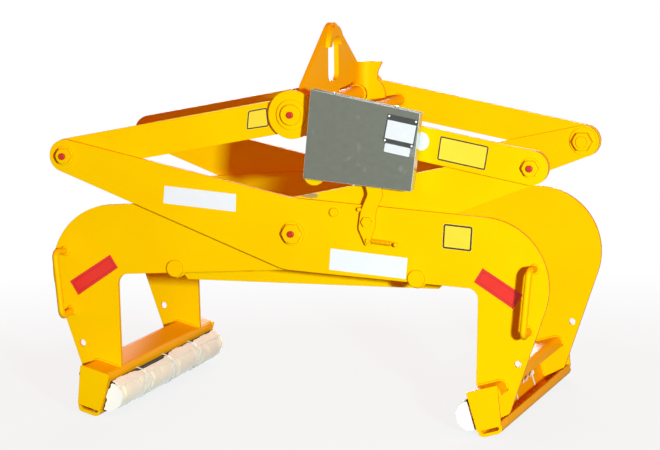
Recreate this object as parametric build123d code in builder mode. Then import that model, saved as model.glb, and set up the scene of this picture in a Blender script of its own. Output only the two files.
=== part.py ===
"""Block lifting clamp: scissor linkage, two jaws with padded shoes, head bracket and catch."""
import os
from math import acos, atan2, cos, hypot, pi, radians, sin, tan

from build123d import *

os.makedirs("parts", exist_ok=True)

# Plates and layers: every side has an outer plate layer and an inner one behind it.
plate_t = 12.0
layer_gap = 3.0
outer_half = 318.0
outer_back = outer_half - plate_t
inner_half = outer_back - layer_gap
room_half = inner_half - plate_t

# Linkage in the open rest pose, measured from the central pivot.
arm_x = 600.0
arm_z = 177.5
head_z = 293.5
arm_r = 41.0
link_half = 42.0
head_disc_r = 60.0
pin_r = 15.0
fit = 0.05
open_pivot_play = 8.0

# Jaw plate outline, right side, from the central pivot.
crest_z = 88.0
crest_r = 260.0
shoulder_x = 707.0
shoulder_z = 39.4
shoulder_r = 168.0
throat_x = 469.5
throat_z = -121.2
throat_r = 27.0
belly_x = -25.1
belly_z = -90.8
belly_r = 120.0
hole_along = 367.6
hole_in = 20.5
hole_r = 9.0

# Shoe, in its own tilted axes: u outward from the gripping face, v up along it.
shoe_x = 491.5
shoe_z = -473.0
shoe_tilt = radians(16.0)
shoe_half = 392.0
shoe_t = 8.0
shoe_h = 116.0
shoe_top = 80.0
shoe_bottom = 61.0
shoe_lip = 26.0
shoe_top_lip = 28.0
bend_out = 14.0
bend_in = bend_out - shoe_t
end_t = 8.0
end_low = 18.0
toe_u = shoe_bottom + 6.0
toe_v = shoe_lip + 5.0
toe_in_v = shoe_lip - 6.5
inner_u = 5.0
tip_play = 1.0

# Pads on the gripping face
pad_v = shoe_h / 2
pad_edge = 20.0
rubber_t = 12.0
rubber_h = shoe_h - 2 * pad_edge
rubber_edge = 3.0
sleeve_d = 34.0
sleeve_in = 1.0
sleeve_h = rubber_h / 2 - sleeve_in
sleeve_half = shoe_half - 6.0
sleeve_off = 0.3
drawn = 0.93
tie_w = 6.0
tie_t = 1.6
tie_play = 0.5
tie_slot_w = 9.0
tie_slot_h = 5.0
tie_at = (-sleeve_half / 2, 0.0, sleeve_half / 2)
tie_run = rubber_h / 2 + tie_play + tie_t / 2

# Cross bars, straps and handles
bar_back = 155.4
bar_in = 10.7
bar_r = 21.5
bar_out = 6.0
link_bar_at = 103.0
link_bar_r = 15.0
strap_y = 160.0
strap_t = 10.0
strap_half_h = 49.0
strap_over = 37.0
strap_cut = 22.0
strap_slide = 150.0
strap_play = 1.0
collar_r = 30.0
collar_t = 6.0
collar_play = 0.5
handle_top_along = 131.6
handle_top_in = 56.9
handle_low_along = 280.0
handle_low_in = 21.1
handle_out = 66.0
handle_splay = 6.0
handle_r = 8.5
handle_bend = 16.0

# Fasteners
washer_r = 30.0
arm_washer_r = 24.5
washer_t = 4.0
bolt_af = 46.0
arm_af = 37.0
bolt_head = 12.0
nut_h = 20.0
hex_edge = 2.0
inner_washer_r = 36.0
side_play = 0.5
thread_out = 5.0
cap_r = 8.5
cap_h = 6.0
head_washer_r = 37.5
head_collar_r = 26.0
head_collar_t = 8.0

# Head bracket, heights from the head pin
tube_r = 22.5
hook_t = 12.0
hook_gap = 32.0
hook_front_gap = 4.0
hook_half = room_half - hook_gap
hook_front = room_half - hook_front_gap
hook_bend = 25.0
hook_apex = 220.3
hook_apex_r = 86.0
hook_slope = tan(radians(31.4))
hook_rear_top = 86.5
hook_front_top = 46.0
hook_horn = 70.0
hook_waist = 57.0
hook_waist_low = 27.0
hook_ear_x = 26.0
hook_ear_r = 52.0
hook_low = -55.5
slot_half = 45.0
slot_top = 171.0
slot_low = 57.5
slot_r = 40.0
slot_low_r = 19.0
pad_ring_r = 66.0
pad_ring_t = 10.0
pad_ring_low = 146.0
notch_from = 48.0
notch_to = 200.0
notch_low = 31.0
notch_high = 46.5
relief_play = 7.0
relief_r = tube_r + relief_play
relief_from = hook_half - hook_t - hook_bend - 26.0

# Catch: cover and keeper on the right link, lever and spring on the right jaw
lever_gap = 4.0
lever_t = 8.0
lever_play = 0.3
cover_t = 2.0
cover_clear = 3.0
cover_deep = 30.0
cover_back = outer_half + lever_gap + lever_t + cover_clear
cover_front = cover_back + cover_deep
cover_pts = ((50.0, 78.4), (329.0, 78.4), (342.6, -112.5), (69.8, -139.8))
cover_edge = 3.0
bracket_at = (105.0, 265.0)
bracket_w = 30.0
bracket_t = lever_gap
bracket_low = -25.0
bracket_in = 24.0
screw_r = 5.0
screw_h = 3.0
name_x = 290.0
name_z = 26.5
name_w = 78.0
name_h = 70.0
name_t = 1.0
tag_z = -20.5
tag_w = 66.0
tag_h = 23.0
rivet_r = 2.4
rivet_h = 1.2
trip_along = 70.5
trip_down = 22.6
trip_top_r = 18.0
trip_hang = 109.0
trip_lean = 5.0
trip_low_r = 27.0
trip_pin_r = 6.0
trip_head_af = 15.0
trip_head = 6.0
lever_x = 194.0
lever_z = crest_z - 52.0
lever_pin_r = 8.0
lever_head_af = 24.0
lever_head = 7.0
lever_boss_r = 13.0
stop_x = lever_x - 20.3
stop_z = lever_z + 30.0
stop_r = 5.0
keep_x = lever_x + 78.0
keep_z = lever_z + 109.0
keep_r = 9.0
keep_half = 18.0
boss_x = 107.0
boss_z = crest_z - 32.0
boss_r = 11.0
boss_h = 7.0
stud_r = 3.0
stud_head_r = 4.5
stud_head_t = 1.5
stud_ax = lever_x + 2.0
stud_az = lever_z - 46.0
stud_bx = lever_x + 73.0
stud_bz = lever_z - 53.0
wire_r = 1.2
coil_r = 5.2
loop_r = 5.2
leg_a = 4.0
leg_b = 9.0
coil_turns = 15

# Outline of the catch lever from its pivot, each corner with its radius.
lever_outline = (
    (-4.0, -58.0, 6.0),
    (-22.0, -17.0, 22.0),
    (-16.0, 26.0, 60.0),
    (2.5, 68.0, 16.0),
    (-5.0, 94.0, 40.0),
    (-5.0, 160.0, 10.0),
    (52.0, 154.0, 6.0),
    (52.0, 136.0, 4.0),
    (33.0, 136.0, 5.0),
    (33.0, 94.0, 40.0),
    (40.5, 68.0, 16.0),
    (22.0, 26.0, 60.0),
    (19.0, -17.0, 22.0),
    (9.5, -38.0, 12.0),
    (9.5, -58.0, 6.0),
)

# Height of the central pivot, so that the shoes stand on z = 0.
pivot_z = bend_out * (cos(shoe_tilt) + sin(shoe_tilt) - 1) * -1 - shoe_z

link_len = hypot(arm_x, head_z - arm_z)
beta = atan2(head_z - arm_z, arm_x)


def rounded(corners):
    """Draw a closed outline in the current line block, each corner given as x, y, radius."""
    count = len(corners)
    cuts = []
    for i in range(count):
        x, y, r = corners[i]
        ax, ay, _ = corners[i - 1]
        bx, by, _ = corners[(i + 1) % count]
        if r == 0:
            cuts.append(((x, y), None, (x, y)))
            continue
        la = hypot(ax - x, ay - y)
        lb = hypot(bx - x, by - y)
        ux, uy = (ax - x) / la, (ay - y) / la
        vx, vy = (bx - x) / lb, (by - y) / lb
        half = acos(ux * vx + uy * vy) / 2
        d = r / tan(half)
        bl = hypot(ux + vx, uy + vy)
        m = r / sin(half) - r
        mid = (x + (ux + vx) / bl * m, y + (uy + vy) / bl * m)
        cuts.append(((x + ux * d, y + uy * d), mid, (x + vx * d, y + vy * d)))
    for i in range(count):
        start, mid, end = cuts[i]
        if mid is not None:
            ThreePointArc(start, mid, end)
        after = cuts[(i + 1) % count][0]
        if hypot(after[0] - end[0], after[1] - end[1]) > 1e-6:
            Line(end, after)


def touch(px, py, cx, cy, r, turn):
    """Point where the line from p just touches the circle about c."""
    d = hypot(px - cx, py - cy)
    a = atan2(py - cy, px - cx) + turn * acos(r / d)
    return (cx + r * cos(a), cy + r * sin(a))


def jaw_plane(side, y):
    """Plane across the depth, x outward from the pivot on the given side, y up."""
    return Plane(origin=(0, y, pivot_z), x_dir=(side, 0, 0), z_dir=(0, -side, 0))


def shoe_plane(side, y):
    """Plane across the shoe of the given side, x along u, y along v."""
    return Plane(
        origin=(side * shoe_x, y, pivot_z + shoe_z),
        x_dir=(side * cos(shoe_tilt), 0, sin(shoe_tilt)),
        z_dir=(0, -side, 0),
    )


def link_plane(side, y):
    """Plane across the depth, x from the head pin along the link of the given side."""
    return Plane(
        origin=(0, y, pivot_z + head_z),
        x_dir=(side * cos(beta), 0, -sin(beta)),
        z_dir=(0, -side, 0),
    )


def shoe_point(u, v):
    """Shoe axes to jaw plane axes."""
    c, s = cos(shoe_tilt), sin(shoe_tilt)
    return (shoe_x + u * c - v * s, shoe_z + u * s + v * c)


def edge_point(along, inside):
    """Jaw plane point set in from the outer edge, counted down from the shoulder corner."""
    tx, tz = shoe_point(toe_u, toe_v)
    size = hypot(tx - shoulder_x, tz - shoulder_z)
    dx, dz = (tx - shoulder_x) / size, (tz - shoulder_z) / size
    return (shoulder_x + along * dx + inside * dz, shoulder_z + along * dz - inside * dx)


under = hypot(belly_x - throat_x, belly_z - throat_z)
under_x = (belly_x - throat_x) / under
under_z = (belly_z - throat_z) / under
bar_x = throat_x + bar_back * under_x + bar_in * under_z
bar_z = throat_z + bar_back * under_z - bar_in * under_x
hole_x, hole_z = edge_point(hole_along, hole_in)
handle_top_x, handle_top_z = edge_point(handle_top_along, handle_top_in)
handle_low_x, handle_low_z = edge_point(handle_low_along, handle_low_in)
trip_x = trip_along * cos(beta) - trip_down * sin(beta)
trip_z = head_z - trip_along * sin(beta) - trip_down * cos(beta)

jaw_outline = [
    (*touch(0, crest_z, -arm_x, arm_z, arm_r, 1), 0),
    (0, crest_z, crest_r),
    (shoulder_x, shoulder_z, shoulder_r),
    (*shoe_point(toe_u, toe_v), 8.0),
    (*shoe_point(shoe_t, toe_in_v), 0),
    (*shoe_point(shoe_t, shoe_h - shoe_t), bend_in + 3.0),
    (*shoe_point(shoe_top - shoe_t - tip_play, shoe_h - shoe_t), bend_in + 3.0),
    (*shoe_point(shoe_top - shoe_t - tip_play, shoe_h - shoe_top_lip - tip_play), 1.5),
    (*shoe_point(shoe_top + tip_play, shoe_h - shoe_top_lip - tip_play), 1.5),
    (*shoe_point(shoe_top + tip_play, shoe_h), bend_out + tip_play),
    (*shoe_point(inner_u, shoe_h), 0),
    (throat_x, throat_z, throat_r),
    (belly_x, belly_z, belly_r),
    (*touch(belly_x, belly_z, -arm_x, arm_z, arm_r, -1), 0),
]

shoe_outline = [
    (shoe_top, shoe_h, bend_out),
    (0, shoe_h, bend_out),
    (0, 0, bend_out),
    (shoe_bottom, 0, bend_out),
    (shoe_bottom, shoe_lip, 2.0),
    (shoe_bottom - shoe_t, shoe_lip, 2.0),
    (shoe_bottom - shoe_t, shoe_t, bend_in),
    (shoe_t, shoe_t, bend_in),
    (shoe_t, shoe_h - shoe_t, bend_in),
    (shoe_top - shoe_t, shoe_h - shoe_t, bend_in),
    (shoe_top - shoe_t, shoe_h - shoe_top_lip, 2.0),
    (shoe_top, shoe_h - shoe_top_lip, 2.0),
]

end_outline = [
    (0, shoe_h, 2.0),
    (shoe_top, shoe_h, 3.0),
    (shoe_bottom, end_low, 4.0),
    (0, end_low, 2.0),
]

# Jaw plates: boomerang plates with a long arm, cut round the shoe at the foot.
with BuildPart() as right_plate_front:
    with BuildSketch(jaw_plane(1, -outer_back)):
        with BuildLine():
            rounded(jaw_outline)
        make_face()
        with Locations((-arm_x, arm_z)):
            Circle(arm_r)
            Circle(pin_r + fit, mode=Mode.SUBTRACT)
        Circle(pin_r + fit, mode=Mode.SUBTRACT)
        with Locations((bar_x, bar_z)):
            Circle(bar_r + fit, mode=Mode.SUBTRACT)
        with Locations((hole_x, hole_z)):
            Circle(hole_r, mode=Mode.SUBTRACT)
    extrude(amount=plate_t)
right_plate_front.part.label = "right_plate_front"
export_step(right_plate_front.part, "parts/right_plate_front.step")

with BuildPart() as right_plate_rear:
    with BuildSketch(jaw_plane(1, outer_half)):
        with BuildLine():
            rounded(jaw_outline)
        make_face()
        with Locations((-arm_x, arm_z)):
            Circle(arm_r)
            Circle(pin_r + fit, mode=Mode.SUBTRACT)
        Circle(pin_r + fit, mode=Mode.SUBTRACT)
        with Locations((bar_x, bar_z)):
            Circle(bar_r + fit, mode=Mode.SUBTRACT)
        with Locations((hole_x, hole_z)):
            Circle(hole_r, mode=Mode.SUBTRACT)
    extrude(amount=plate_t)
right_plate_rear.part.label = "right_plate_rear"
export_step(right_plate_rear.part, "parts/right_plate_rear.step")

with BuildPart() as left_plate_front:
    with BuildSketch(jaw_plane(-1, -inner_half)):
        with BuildLine():
            rounded(jaw_outline)
        make_face()
        with Locations((-arm_x, arm_z)):
            Circle(arm_r)
            Circle(pin_r + fit, mode=Mode.SUBTRACT)
        Circle(pin_r + fit, mode=Mode.SUBTRACT)
        with Locations((bar_x, bar_z)):
            Circle(bar_r + fit, mode=Mode.SUBTRACT)
        with Locations((hole_x, hole_z)):
            Circle(hole_r, mode=Mode.SUBTRACT)
    extrude(amount=plate_t)
left_plate_front.part.label = "left_plate_front"
export_step(left_plate_front.part, "parts/left_plate_front.step")

with BuildPart() as left_plate_rear:
    with BuildSketch(jaw_plane(-1, room_half)):
        with BuildLine():
            rounded(jaw_outline)
        make_face()
        with Locations((-arm_x, arm_z)):
            Circle(arm_r)
            Circle(pin_r + fit, mode=Mode.SUBTRACT)
        Circle(pin_r + fit, mode=Mode.SUBTRACT)
        with Locations((bar_x, bar_z)):
            Circle(bar_r + fit, mode=Mode.SUBTRACT)
        with Locations((hole_x, hole_z)):
            Circle(hole_r, mode=Mode.SUBTRACT)
    extrude(amount=plate_t)
left_plate_rear.part.label = "left_plate_rear"
export_step(left_plate_rear.part, "parts/left_plate_rear.step")

# Round cross bars welded through the plates of each jaw.
with BuildPart() as right_cross_bar:
    with BuildSketch(jaw_plane(1, outer_half + bar_out)):
        with Locations((bar_x, bar_z)):
            Circle(bar_r)
    extrude(amount=2 * (outer_half + bar_out))
    chamfer(right_cross_bar.edges().filter_by(GeomType.CIRCLE), 1.5)
right_cross_bar.part.label = "right_cross_bar"
export_step(right_cross_bar.part, "parts/right_cross_bar.step")

with BuildPart() as left_cross_bar:
    with BuildSketch(jaw_plane(-1, -inner_half - bar_out)):
        with Locations((bar_x, bar_z)):
            Circle(bar_r)
    extrude(amount=2 * (inner_half + bar_out))
    chamfer(left_cross_bar.edges().filter_by(GeomType.CIRCLE), 1.5)
left_cross_bar.part.label = "left_cross_bar"
export_step(left_cross_bar.part, "parts/left_cross_bar.step")

# Collars on the right cross bar that keep the straps in place.
with BuildPart() as strap_collars:
    for y in (-strap_y, strap_y):
        for low in (y - strap_t / 2 - collar_play - collar_t, y + strap_t / 2 + collar_play):
            with BuildSketch(jaw_plane(1, low + collar_t)):
                with Locations((bar_x, bar_z)):
                    Circle(collar_r)
                    Circle(bar_r + fit, mode=Mode.SUBTRACT)
            extrude(amount=collar_t)
strap_collars.part.label = "strap_collars"
export_step(strap_collars.part, "parts/strap_collars.step")

# Opening straps: pinned on the right cross bar, slotted over the left one.
with BuildPart() as opening_straps:
    for y in (-strap_y, strap_y):
        with BuildSketch(jaw_plane(1, y + strap_t / 2)):
            with BuildLine():
                Polyline(
                    (-bar_x - strap_over, bar_z + strap_half_h),
                    (-bar_x - strap_over, bar_z - strap_half_h + strap_cut),
                    (-bar_x - strap_over + strap_cut, bar_z - strap_half_h),
                    (bar_x + strap_over - strap_cut, bar_z - strap_half_h),
                    (bar_x + strap_over, bar_z - strap_half_h + strap_cut),
                    (bar_x + strap_over, bar_z + strap_half_h),
                    close=True,
                )
            make_face()
            with Locations((bar_x, bar_z)):
                Circle(bar_r + 2 * fit, mode=Mode.SUBTRACT)
            with Locations((-bar_x + strap_slide / 2, bar_z)):
                SlotCenterToCenter(strap_slide, 2 * (bar_r + strap_play), mode=Mode.SUBTRACT)
        extrude(amount=strap_t)
opening_straps.part.label = "opening_straps"
export_step(opening_straps.part, "parts/opening_straps.step")

# Shoes: folded channels, open outward, with slots in the web for the pad ties.
with BuildPart() as right_shoe:
    with BuildSketch(shoe_plane(1, 0)):
        with BuildLine():
            rounded(shoe_outline)
        make_face()
    extrude(amount=shoe_half, both=True)
    for y in tie_at:
        with BuildSketch(shoe_plane(1, y)):
            for v in (pad_v - tie_run, pad_v + tie_run):
                with Locations((shoe_t / 2, v)):
                    Rectangle(2 * shoe_t, tie_slot_h)
        extrude(amount=tie_slot_w / 2, both=True, mode=Mode.SUBTRACT)
right_shoe.part.label = "right_shoe"
export_step(right_shoe.part, "parts/right_shoe.step")

with BuildPart() as left_shoe:
    with BuildSketch(shoe_plane(-1, 0)):
        with BuildLine():
            rounded(shoe_outline)
        make_face()
    extrude(amount=shoe_half, both=True)
    for y in tie_at:
        with BuildSketch(shoe_plane(-1, y)):
            for v in (pad_v - tie_run, pad_v + tie_run):
                with Locations((shoe_t / 2, v)):
                    Rectangle(2 * shoe_t, tie_slot_h)
        extrude(amount=tie_slot_w / 2, both=True, mode=Mode.SUBTRACT)
left_shoe.part.label = "left_shoe"
export_step(left_shoe.part, "parts/left_shoe.step")

# End plates that close the shoes, with a drain slit left above the bottom flange.
with BuildPart() as right_shoe_ends:
    for y in (-shoe_half, shoe_half + end_t):
        with BuildSketch(shoe_plane(1, y)):
            with BuildLine():
                rounded(end_outline)
            make_face()
        extrude(amount=end_t)
right_shoe_ends.part.label = "right_shoe_ends"
export_step(right_shoe_ends.part, "parts/right_shoe_ends.step")

with BuildPart() as left_shoe_ends:
    for y in (-shoe_half - end_t, shoe_half):
        with BuildSketch(shoe_plane(-1, y)):
            with BuildLine():
                rounded(end_outline)
            make_face()
        extrude(amount=end_t)
left_shoe_ends.part.label = "left_shoe_ends"
export_step(left_shoe_ends.part, "parts/left_shoe_ends.step")

# Rubber backing strips on the gripping faces.
rubber_outline = [
    (0, pad_v - rubber_h / 2, 0),
    (0, pad_v + rubber_h / 2, 0),
    (-rubber_t, pad_v + rubber_h / 2, rubber_edge),
    (-rubber_t, pad_v - rubber_h / 2, rubber_edge),
]

with BuildPart() as right_rubber:
    with BuildSketch(shoe_plane(1, 0)):
        with BuildLine():
            rounded(rubber_outline)
        make_face()
    extrude(amount=sleeve_half, both=True)
right_rubber.part.label = "right_rubber"
export_step(right_rubber.part, "parts/right_rubber.step")

with BuildPart() as left_rubber:
    with BuildSketch(shoe_plane(-1, 0)):
        with BuildLine():
            rounded(rubber_outline)
        make_face()
    extrude(amount=sleeve_half, both=True)
left_rubber.part.label = "left_rubber"
export_step(left_rubber.part, "parts/left_rubber.step")

# Padded sleeves in front of the rubber: half-round rolls, drawn in at ends and ties.
pitch = sleeve_half / 2
sleeve_stations = [(-sleeve_half, 0.84), (-sleeve_half + 0.14 * pitch, 0.975)]
for k in range(4):
    start = -sleeve_half + k * pitch
    sleeve_stations.append((start + 0.5 * pitch, 1.0))
    if k < 3:
        sleeve_stations.append((start + 0.86 * pitch, 0.985))
        sleeve_stations.append((start + pitch, drawn))
        sleeve_stations.append((start + 1.14 * pitch, 0.985))
sleeve_stations += [(sleeve_half - 0.14 * pitch, 0.975), (sleeve_half, 0.84)]



def sleeve_line(k):
    """Closed section of the sleeve, drawn in by the factor k."""
    back = -rubber_t - sleeve_off
    d = sleeve_d * k
    h = sleeve_h * k
    EllipticalCenterArc((back, pad_v), d, h, 90, arc_size=90)
    EllipticalCenterArc((back, pad_v), d, h, 180, arc_size=90)
    Line((back, pad_v - h), (back, pad_v + h))


with BuildPart() as right_sleeve:
    for y, k in sleeve_stations:
        with BuildSketch(shoe_plane(1, y)):
            with BuildLine():
                sleeve_line(k)
            make_face()
    loft()
right_sleeve.part.label = "right_sleeve"
export_step(right_sleeve.part, "parts/right_sleeve.step")

with BuildPart() as left_sleeve:
    for y, k in sleeve_stations:
        with BuildSketch(shoe_plane(-1, y)):
            with BuildLine():
                sleeve_line(k)
            make_face()
    loft()
left_sleeve.part.label = "left_sleeve"
export_step(left_sleeve.part, "parts/left_sleeve.step")

# Ties round sleeve, rubber and web.
tie_in_d = sleeve_d * drawn + sleeve_off + tie_play
tie_in_h = rubber_h / 2 + tie_play


def tie_line(grow):
    """Closed outline of a tie, grown outward from its inner face."""
    d = tie_in_d + grow
    h = tie_in_h + grow
    back = shoe_t + tie_play + grow
    EllipticalCenterArc((-rubber_t, pad_v), d, h, 90, arc_size=90)
    EllipticalCenterArc((-rubber_t, pad_v), d, h, 180, arc_size=90)
    Polyline((-rubber_t, pad_v - h), (back, pad_v - h), (back, pad_v + h), (-rubber_t, pad_v + h))


with BuildPart() as right_ties:
    for y in tie_at:
        with BuildSketch(shoe_plane(1, y)):
            for grow, mode in ((tie_t, Mode.ADD), (0, Mode.SUBTRACT)):
                with BuildLine():
                    tie_line(grow)
                make_face(mode=mode)
        extrude(amount=tie_w / 2, both=True)
right_ties.part.label = "right_ties"
export_step(right_ties.part, "parts/right_ties.step")

with BuildPart() as left_ties:
    for y in tie_at:
        with BuildSketch(shoe_plane(-1, y)):
            for grow, mode in ((tie_t, Mode.ADD), (0, Mode.SUBTRACT)):
                with BuildLine():
                    tie_line(grow)
                make_face(mode=mode)
        extrude(amount=tie_w / 2, both=True)
left_ties.part.label = "left_ties"
export_step(left_ties.part, "parts/left_ties.step")

# Handles: bent round bar welded on the front plate of each jaw, the legs leaning apart.
handle_len = hypot(handle_low_x - handle_top_x, handle_low_z - handle_top_z)
handle_dx = (handle_low_x - handle_top_x) / handle_len
handle_dz = (handle_low_z - handle_top_z) / handle_len
handle_root = plate_t / 2
handle_lean = handle_splay / handle_out * handle_root
handle_line = (
    (handle_lean, -handle_root),
    (-handle_splay, handle_out),
    (handle_len + handle_splay, handle_out),
    (handle_len - handle_lean, -handle_root),
)

with BuildPart() as right_handle:
    with BuildLine(
        Plane(
            origin=(handle_top_x, -outer_half, pivot_z + handle_top_z),
            x_dir=(handle_dx, 0, handle_dz),
            z_dir=(handle_dz, 0, -handle_dx),
        )
    ) as right_bar:
        FilletPolyline(*handle_line, radius=handle_bend)
    with BuildSketch(Plane(origin=right_bar.line @ 0, z_dir=right_bar.line % 0)):
        Circle(handle_r)
    sweep()
    split(bisect_by=Plane.XZ.offset(outer_half), keep=Keep.TOP)
right_handle.part.label = "right_handle"
export_step(right_handle.part, "parts/right_handle.step")

with BuildPart() as left_handle:
    with BuildLine(
        Plane(
            origin=(-handle_top_x, -inner_half, pivot_z + handle_top_z),
            x_dir=(-handle_dx, 0, handle_dz),
            z_dir=(handle_dz, 0, handle_dx),
        )
    ) as left_bar:
        FilletPolyline(*handle_line, radius=handle_bend)
    with BuildSketch(Plane(origin=left_bar.line @ 0, z_dir=left_bar.line % 0)):
        Circle(handle_r)
    sweep()
    split(bisect_by=Plane.XZ.offset(inner_half), keep=Keep.TOP)
left_handle.part.label = "left_handle"
export_step(left_handle.part, "parts/left_handle.step")

# Links: the right pair runs in the outer layer, the left pair in the inner one.
with BuildPart() as right_link_front:
    with BuildSketch(link_plane(1, -outer_back)):
        with Locations((link_len / 2, 0)):
            Rectangle(link_len, 2 * link_half)
        with Locations((link_len, 0)):
            Circle(link_half)
            Circle(pin_r + fit, mode=Mode.SUBTRACT)
        Circle(head_disc_r)
        Circle(pin_r + open_pivot_play, mode=Mode.SUBTRACT)
    extrude(amount=plate_t)
right_link_front.part.label = "right_link_front"
export_step(right_link_front.part, "parts/right_link_front.step")

with BuildPart() as right_link_rear:
    with BuildSketch(link_plane(1, outer_half)):
        with Locations((link_len / 2, 0)):
            Rectangle(link_len, 2 * link_half)
        with Locations((link_len, 0)):
            Circle(link_half)
            Circle(pin_r + fit, mode=Mode.SUBTRACT)
        Circle(head_disc_r)
        Circle(pin_r + open_pivot_play, mode=Mode.SUBTRACT)
    extrude(amount=plate_t)
right_link_rear.part.label = "right_link_rear"
export_step(right_link_rear.part, "parts/right_link_rear.step")

with BuildPart() as left_link_front:
    with BuildSketch(link_plane(-1, -inner_half)):
        with Locations((link_len / 2, 0)):
            SlotCenterToCenter(link_len, 2 * link_half)
        with Locations((0, 0), (link_len, 0)):
            Circle(pin_r + fit, mode=Mode.SUBTRACT)
    extrude(amount=plate_t)
left_link_front.part.label = "left_link_front"
export_step(left_link_front.part, "parts/left_link_front.step")

with BuildPart() as left_link_rear:
    with BuildSketch(link_plane(-1, room_half)):
        with Locations((link_len / 2, 0)):
            SlotCenterToCenter(link_len, 2 * link_half)
        with Locations((0, 0), (link_len, 0)):
            Circle(pin_r + fit, mode=Mode.SUBTRACT)
    extrude(amount=plate_t)
left_link_rear.part.label = "left_link_rear"
export_step(left_link_rear.part, "parts/left_link_rear.step")

# Round bars that tie each pair of links together near the head.
with BuildPart() as right_link_bar:
    with BuildSketch(link_plane(1, outer_back)):
        with Locations((link_bar_at, 0)):
            Circle(link_bar_r)
    extrude(amount=2 * outer_back)
right_link_bar.part.label = "right_link_bar"
export_step(right_link_bar.part, "parts/right_link_bar.step")

with BuildPart() as left_link_bar:
    with BuildSketch(link_plane(-1, -room_half)):
        with Locations((link_bar_at, 0)):
            Circle(link_bar_r)
    extrude(amount=2 * room_half)
left_link_bar.part.label = "left_link_bar"
export_step(left_link_bar.part, "parts/left_link_bar.step")

# Head bracket: one bent plate, its middle a triangular eye plate with the hook slot. A ring pad
# thickens the top of the slot, and the plate is notched over the tube on each side.
head_up = pivot_z + head_z
with BuildPart() as hook_bracket:
    with BuildSketch(Plane.XY.offset(head_up + hook_low)):
        with BuildLine():
            rounded(
                [
                    (hook_horn + 20, hook_half, 0),
                    (0, hook_half, hook_bend + hook_t),
                    (0, -hook_front, hook_bend + hook_t),
                    (hook_horn + 20, -hook_front, 0),
                    (hook_horn + 20, -hook_front + hook_t, 0),
                    (hook_t, -hook_front + hook_t, hook_bend),
                    (hook_t, hook_half - hook_t, hook_bend),
                    (hook_horn + 20, hook_half - hook_t, 0),
                ]
            )
        make_face()
    extrude(amount=hook_apex - hook_low)
    with BuildSketch(Plane.YZ.offset(hook_t)):
        with Locations((0, head_up + slot_top - slot_r)):
            Circle(pad_ring_r)
        with Locations((0, head_up + pad_ring_low - pad_ring_r)):
            Rectangle(3 * pad_ring_r, 2 * pad_ring_r, mode=Mode.SUBTRACT)
    extrude(amount=pad_ring_t)
    with BuildSketch(Plane.YZ.offset(-2 * hook_horn)):
        with BuildLine():
            rear_y = (hook_apex - hook_rear_top) / hook_slope
            front_y = (hook_apex - hook_front_top) / hook_slope
            rounded(
                [
                    (0, head_up + hook_apex, hook_apex_r),
                    (rear_y, head_up + hook_rear_top, 6.0),
                    (2 * hook_half, head_up + hook_rear_top, 0),
                    (2 * hook_half, head_up + hook_low, 0),
                    (hook_half - hook_t - hook_bend, head_up + hook_low, 0),
                    (hook_half - hook_t - hook_bend, head_up, 0),
                    (-hook_front + hook_t + hook_bend, head_up, 0),
                    (-hook_front + hook_t + hook_bend, head_up + hook_low, 0),
                    (-2 * hook_half, head_up + hook_low, 0),
                    (-2 * hook_half, head_up + hook_front_top, 0),
                    (-front_y, head_up + hook_front_top, 0),
                ]
            )
        make_face()
    extrude(amount=4 * hook_horn, mode=Mode.INTERSECT)
    with BuildSketch(Plane.XZ.offset(-hook_half)):
        with BuildLine():
            rounded(
                [
                    (-hook_t, head_up + hook_apex, 0),
                    (hook_t + pad_ring_t + 1, head_up + hook_apex, 0),
                    (hook_t + pad_ring_t + 1, head_up + hook_rear_top, 0),
                    (hook_horn, head_up + hook_rear_top, 3.0),
                    (hook_waist, head_up + hook_rear_top - hook_waist_low, 14.0),
                    (hook_waist, head_up + hook_low, 0),
                    (-hook_t, head_up + hook_low, 0),
                ]
            )
        make_face()
        with Locations((hook_ear_x, head_up + hook_low + hook_ear_r)):
            Circle(hook_ear_r)
    extrude(amount=hook_half + hook_front, mode=Mode.INTERSECT)
    with BuildSketch(Plane.YZ.offset(-hook_t)):
        with BuildLine():
            rounded(
                [
                    (-slot_half, head_up + slot_low, slot_low_r),
                    (slot_half, head_up + slot_low, slot_low_r),
                    (slot_half, head_up + slot_top, slot_r),
                    (-slot_half, head_up + slot_top, slot_r),
                ]
            )
        make_face()
        for side in (-1, 1):
            with BuildLine():
                Polyline(
                    (side * notch_from, head_up),
                    (side * notch_from, head_up + notch_low),
                    (side * (notch_to - 50), head_up + notch_low + 4),
                    (side * (notch_to - 8), head_up + notch_high),
                    (side * (notch_to + 14), head_up + relief_r),
                    (side * (notch_to + 14), head_up),
                    close=True,
                )
            make_face()
    extrude(amount=4 * hook_t, mode=Mode.SUBTRACT)
    with BuildSketch(Plane.XZ.offset(-hook_half)):
        with Locations((0, head_up)):
            Circle(tube_r + fit)
    extrude(amount=hook_half + hook_front, mode=Mode.SUBTRACT)
    for y, depth in ((-relief_from, hook_front - relief_from), (hook_half, hook_half - relief_from)):
        with BuildSketch(Plane.XZ.offset(-y)):
            with Locations((0, head_up)):
                Circle(relief_r)
        extrude(amount=depth, mode=Mode.SUBTRACT)
hook_bracket.part.label = "hook_bracket"
export_step(hook_bracket.part, "parts/hook_bracket.step")



def hex_head(af):
    """Blank of a hex bolt head, the corners turned off at the outer face."""
    with BuildPart() as blank:
        with BuildSketch():
            RegularPolygon(af / 2, 6, major_radius=False)
        extrude(amount=bolt_head)
        with BuildSketch(Plane.XZ):
            with BuildLine():
                Polyline(
                    (0, 0),
                    (af, 0),
                    (af / 2 + 2 * hex_edge, bolt_head - 3 * hex_edge / 2),
                    (af / 2 - hex_edge / 2, bolt_head),
                    (0, bolt_head),
                    close=True,
                )
            make_face()
        revolve(axis=Axis.Z, mode=Mode.INTERSECT)
    return blank


# Blanks for the hex heads of the central pivot and the arm ends, and for the nuts.
pivot_blank = hex_head(bolt_af)
arm_blank = hex_head(arm_af)

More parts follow.
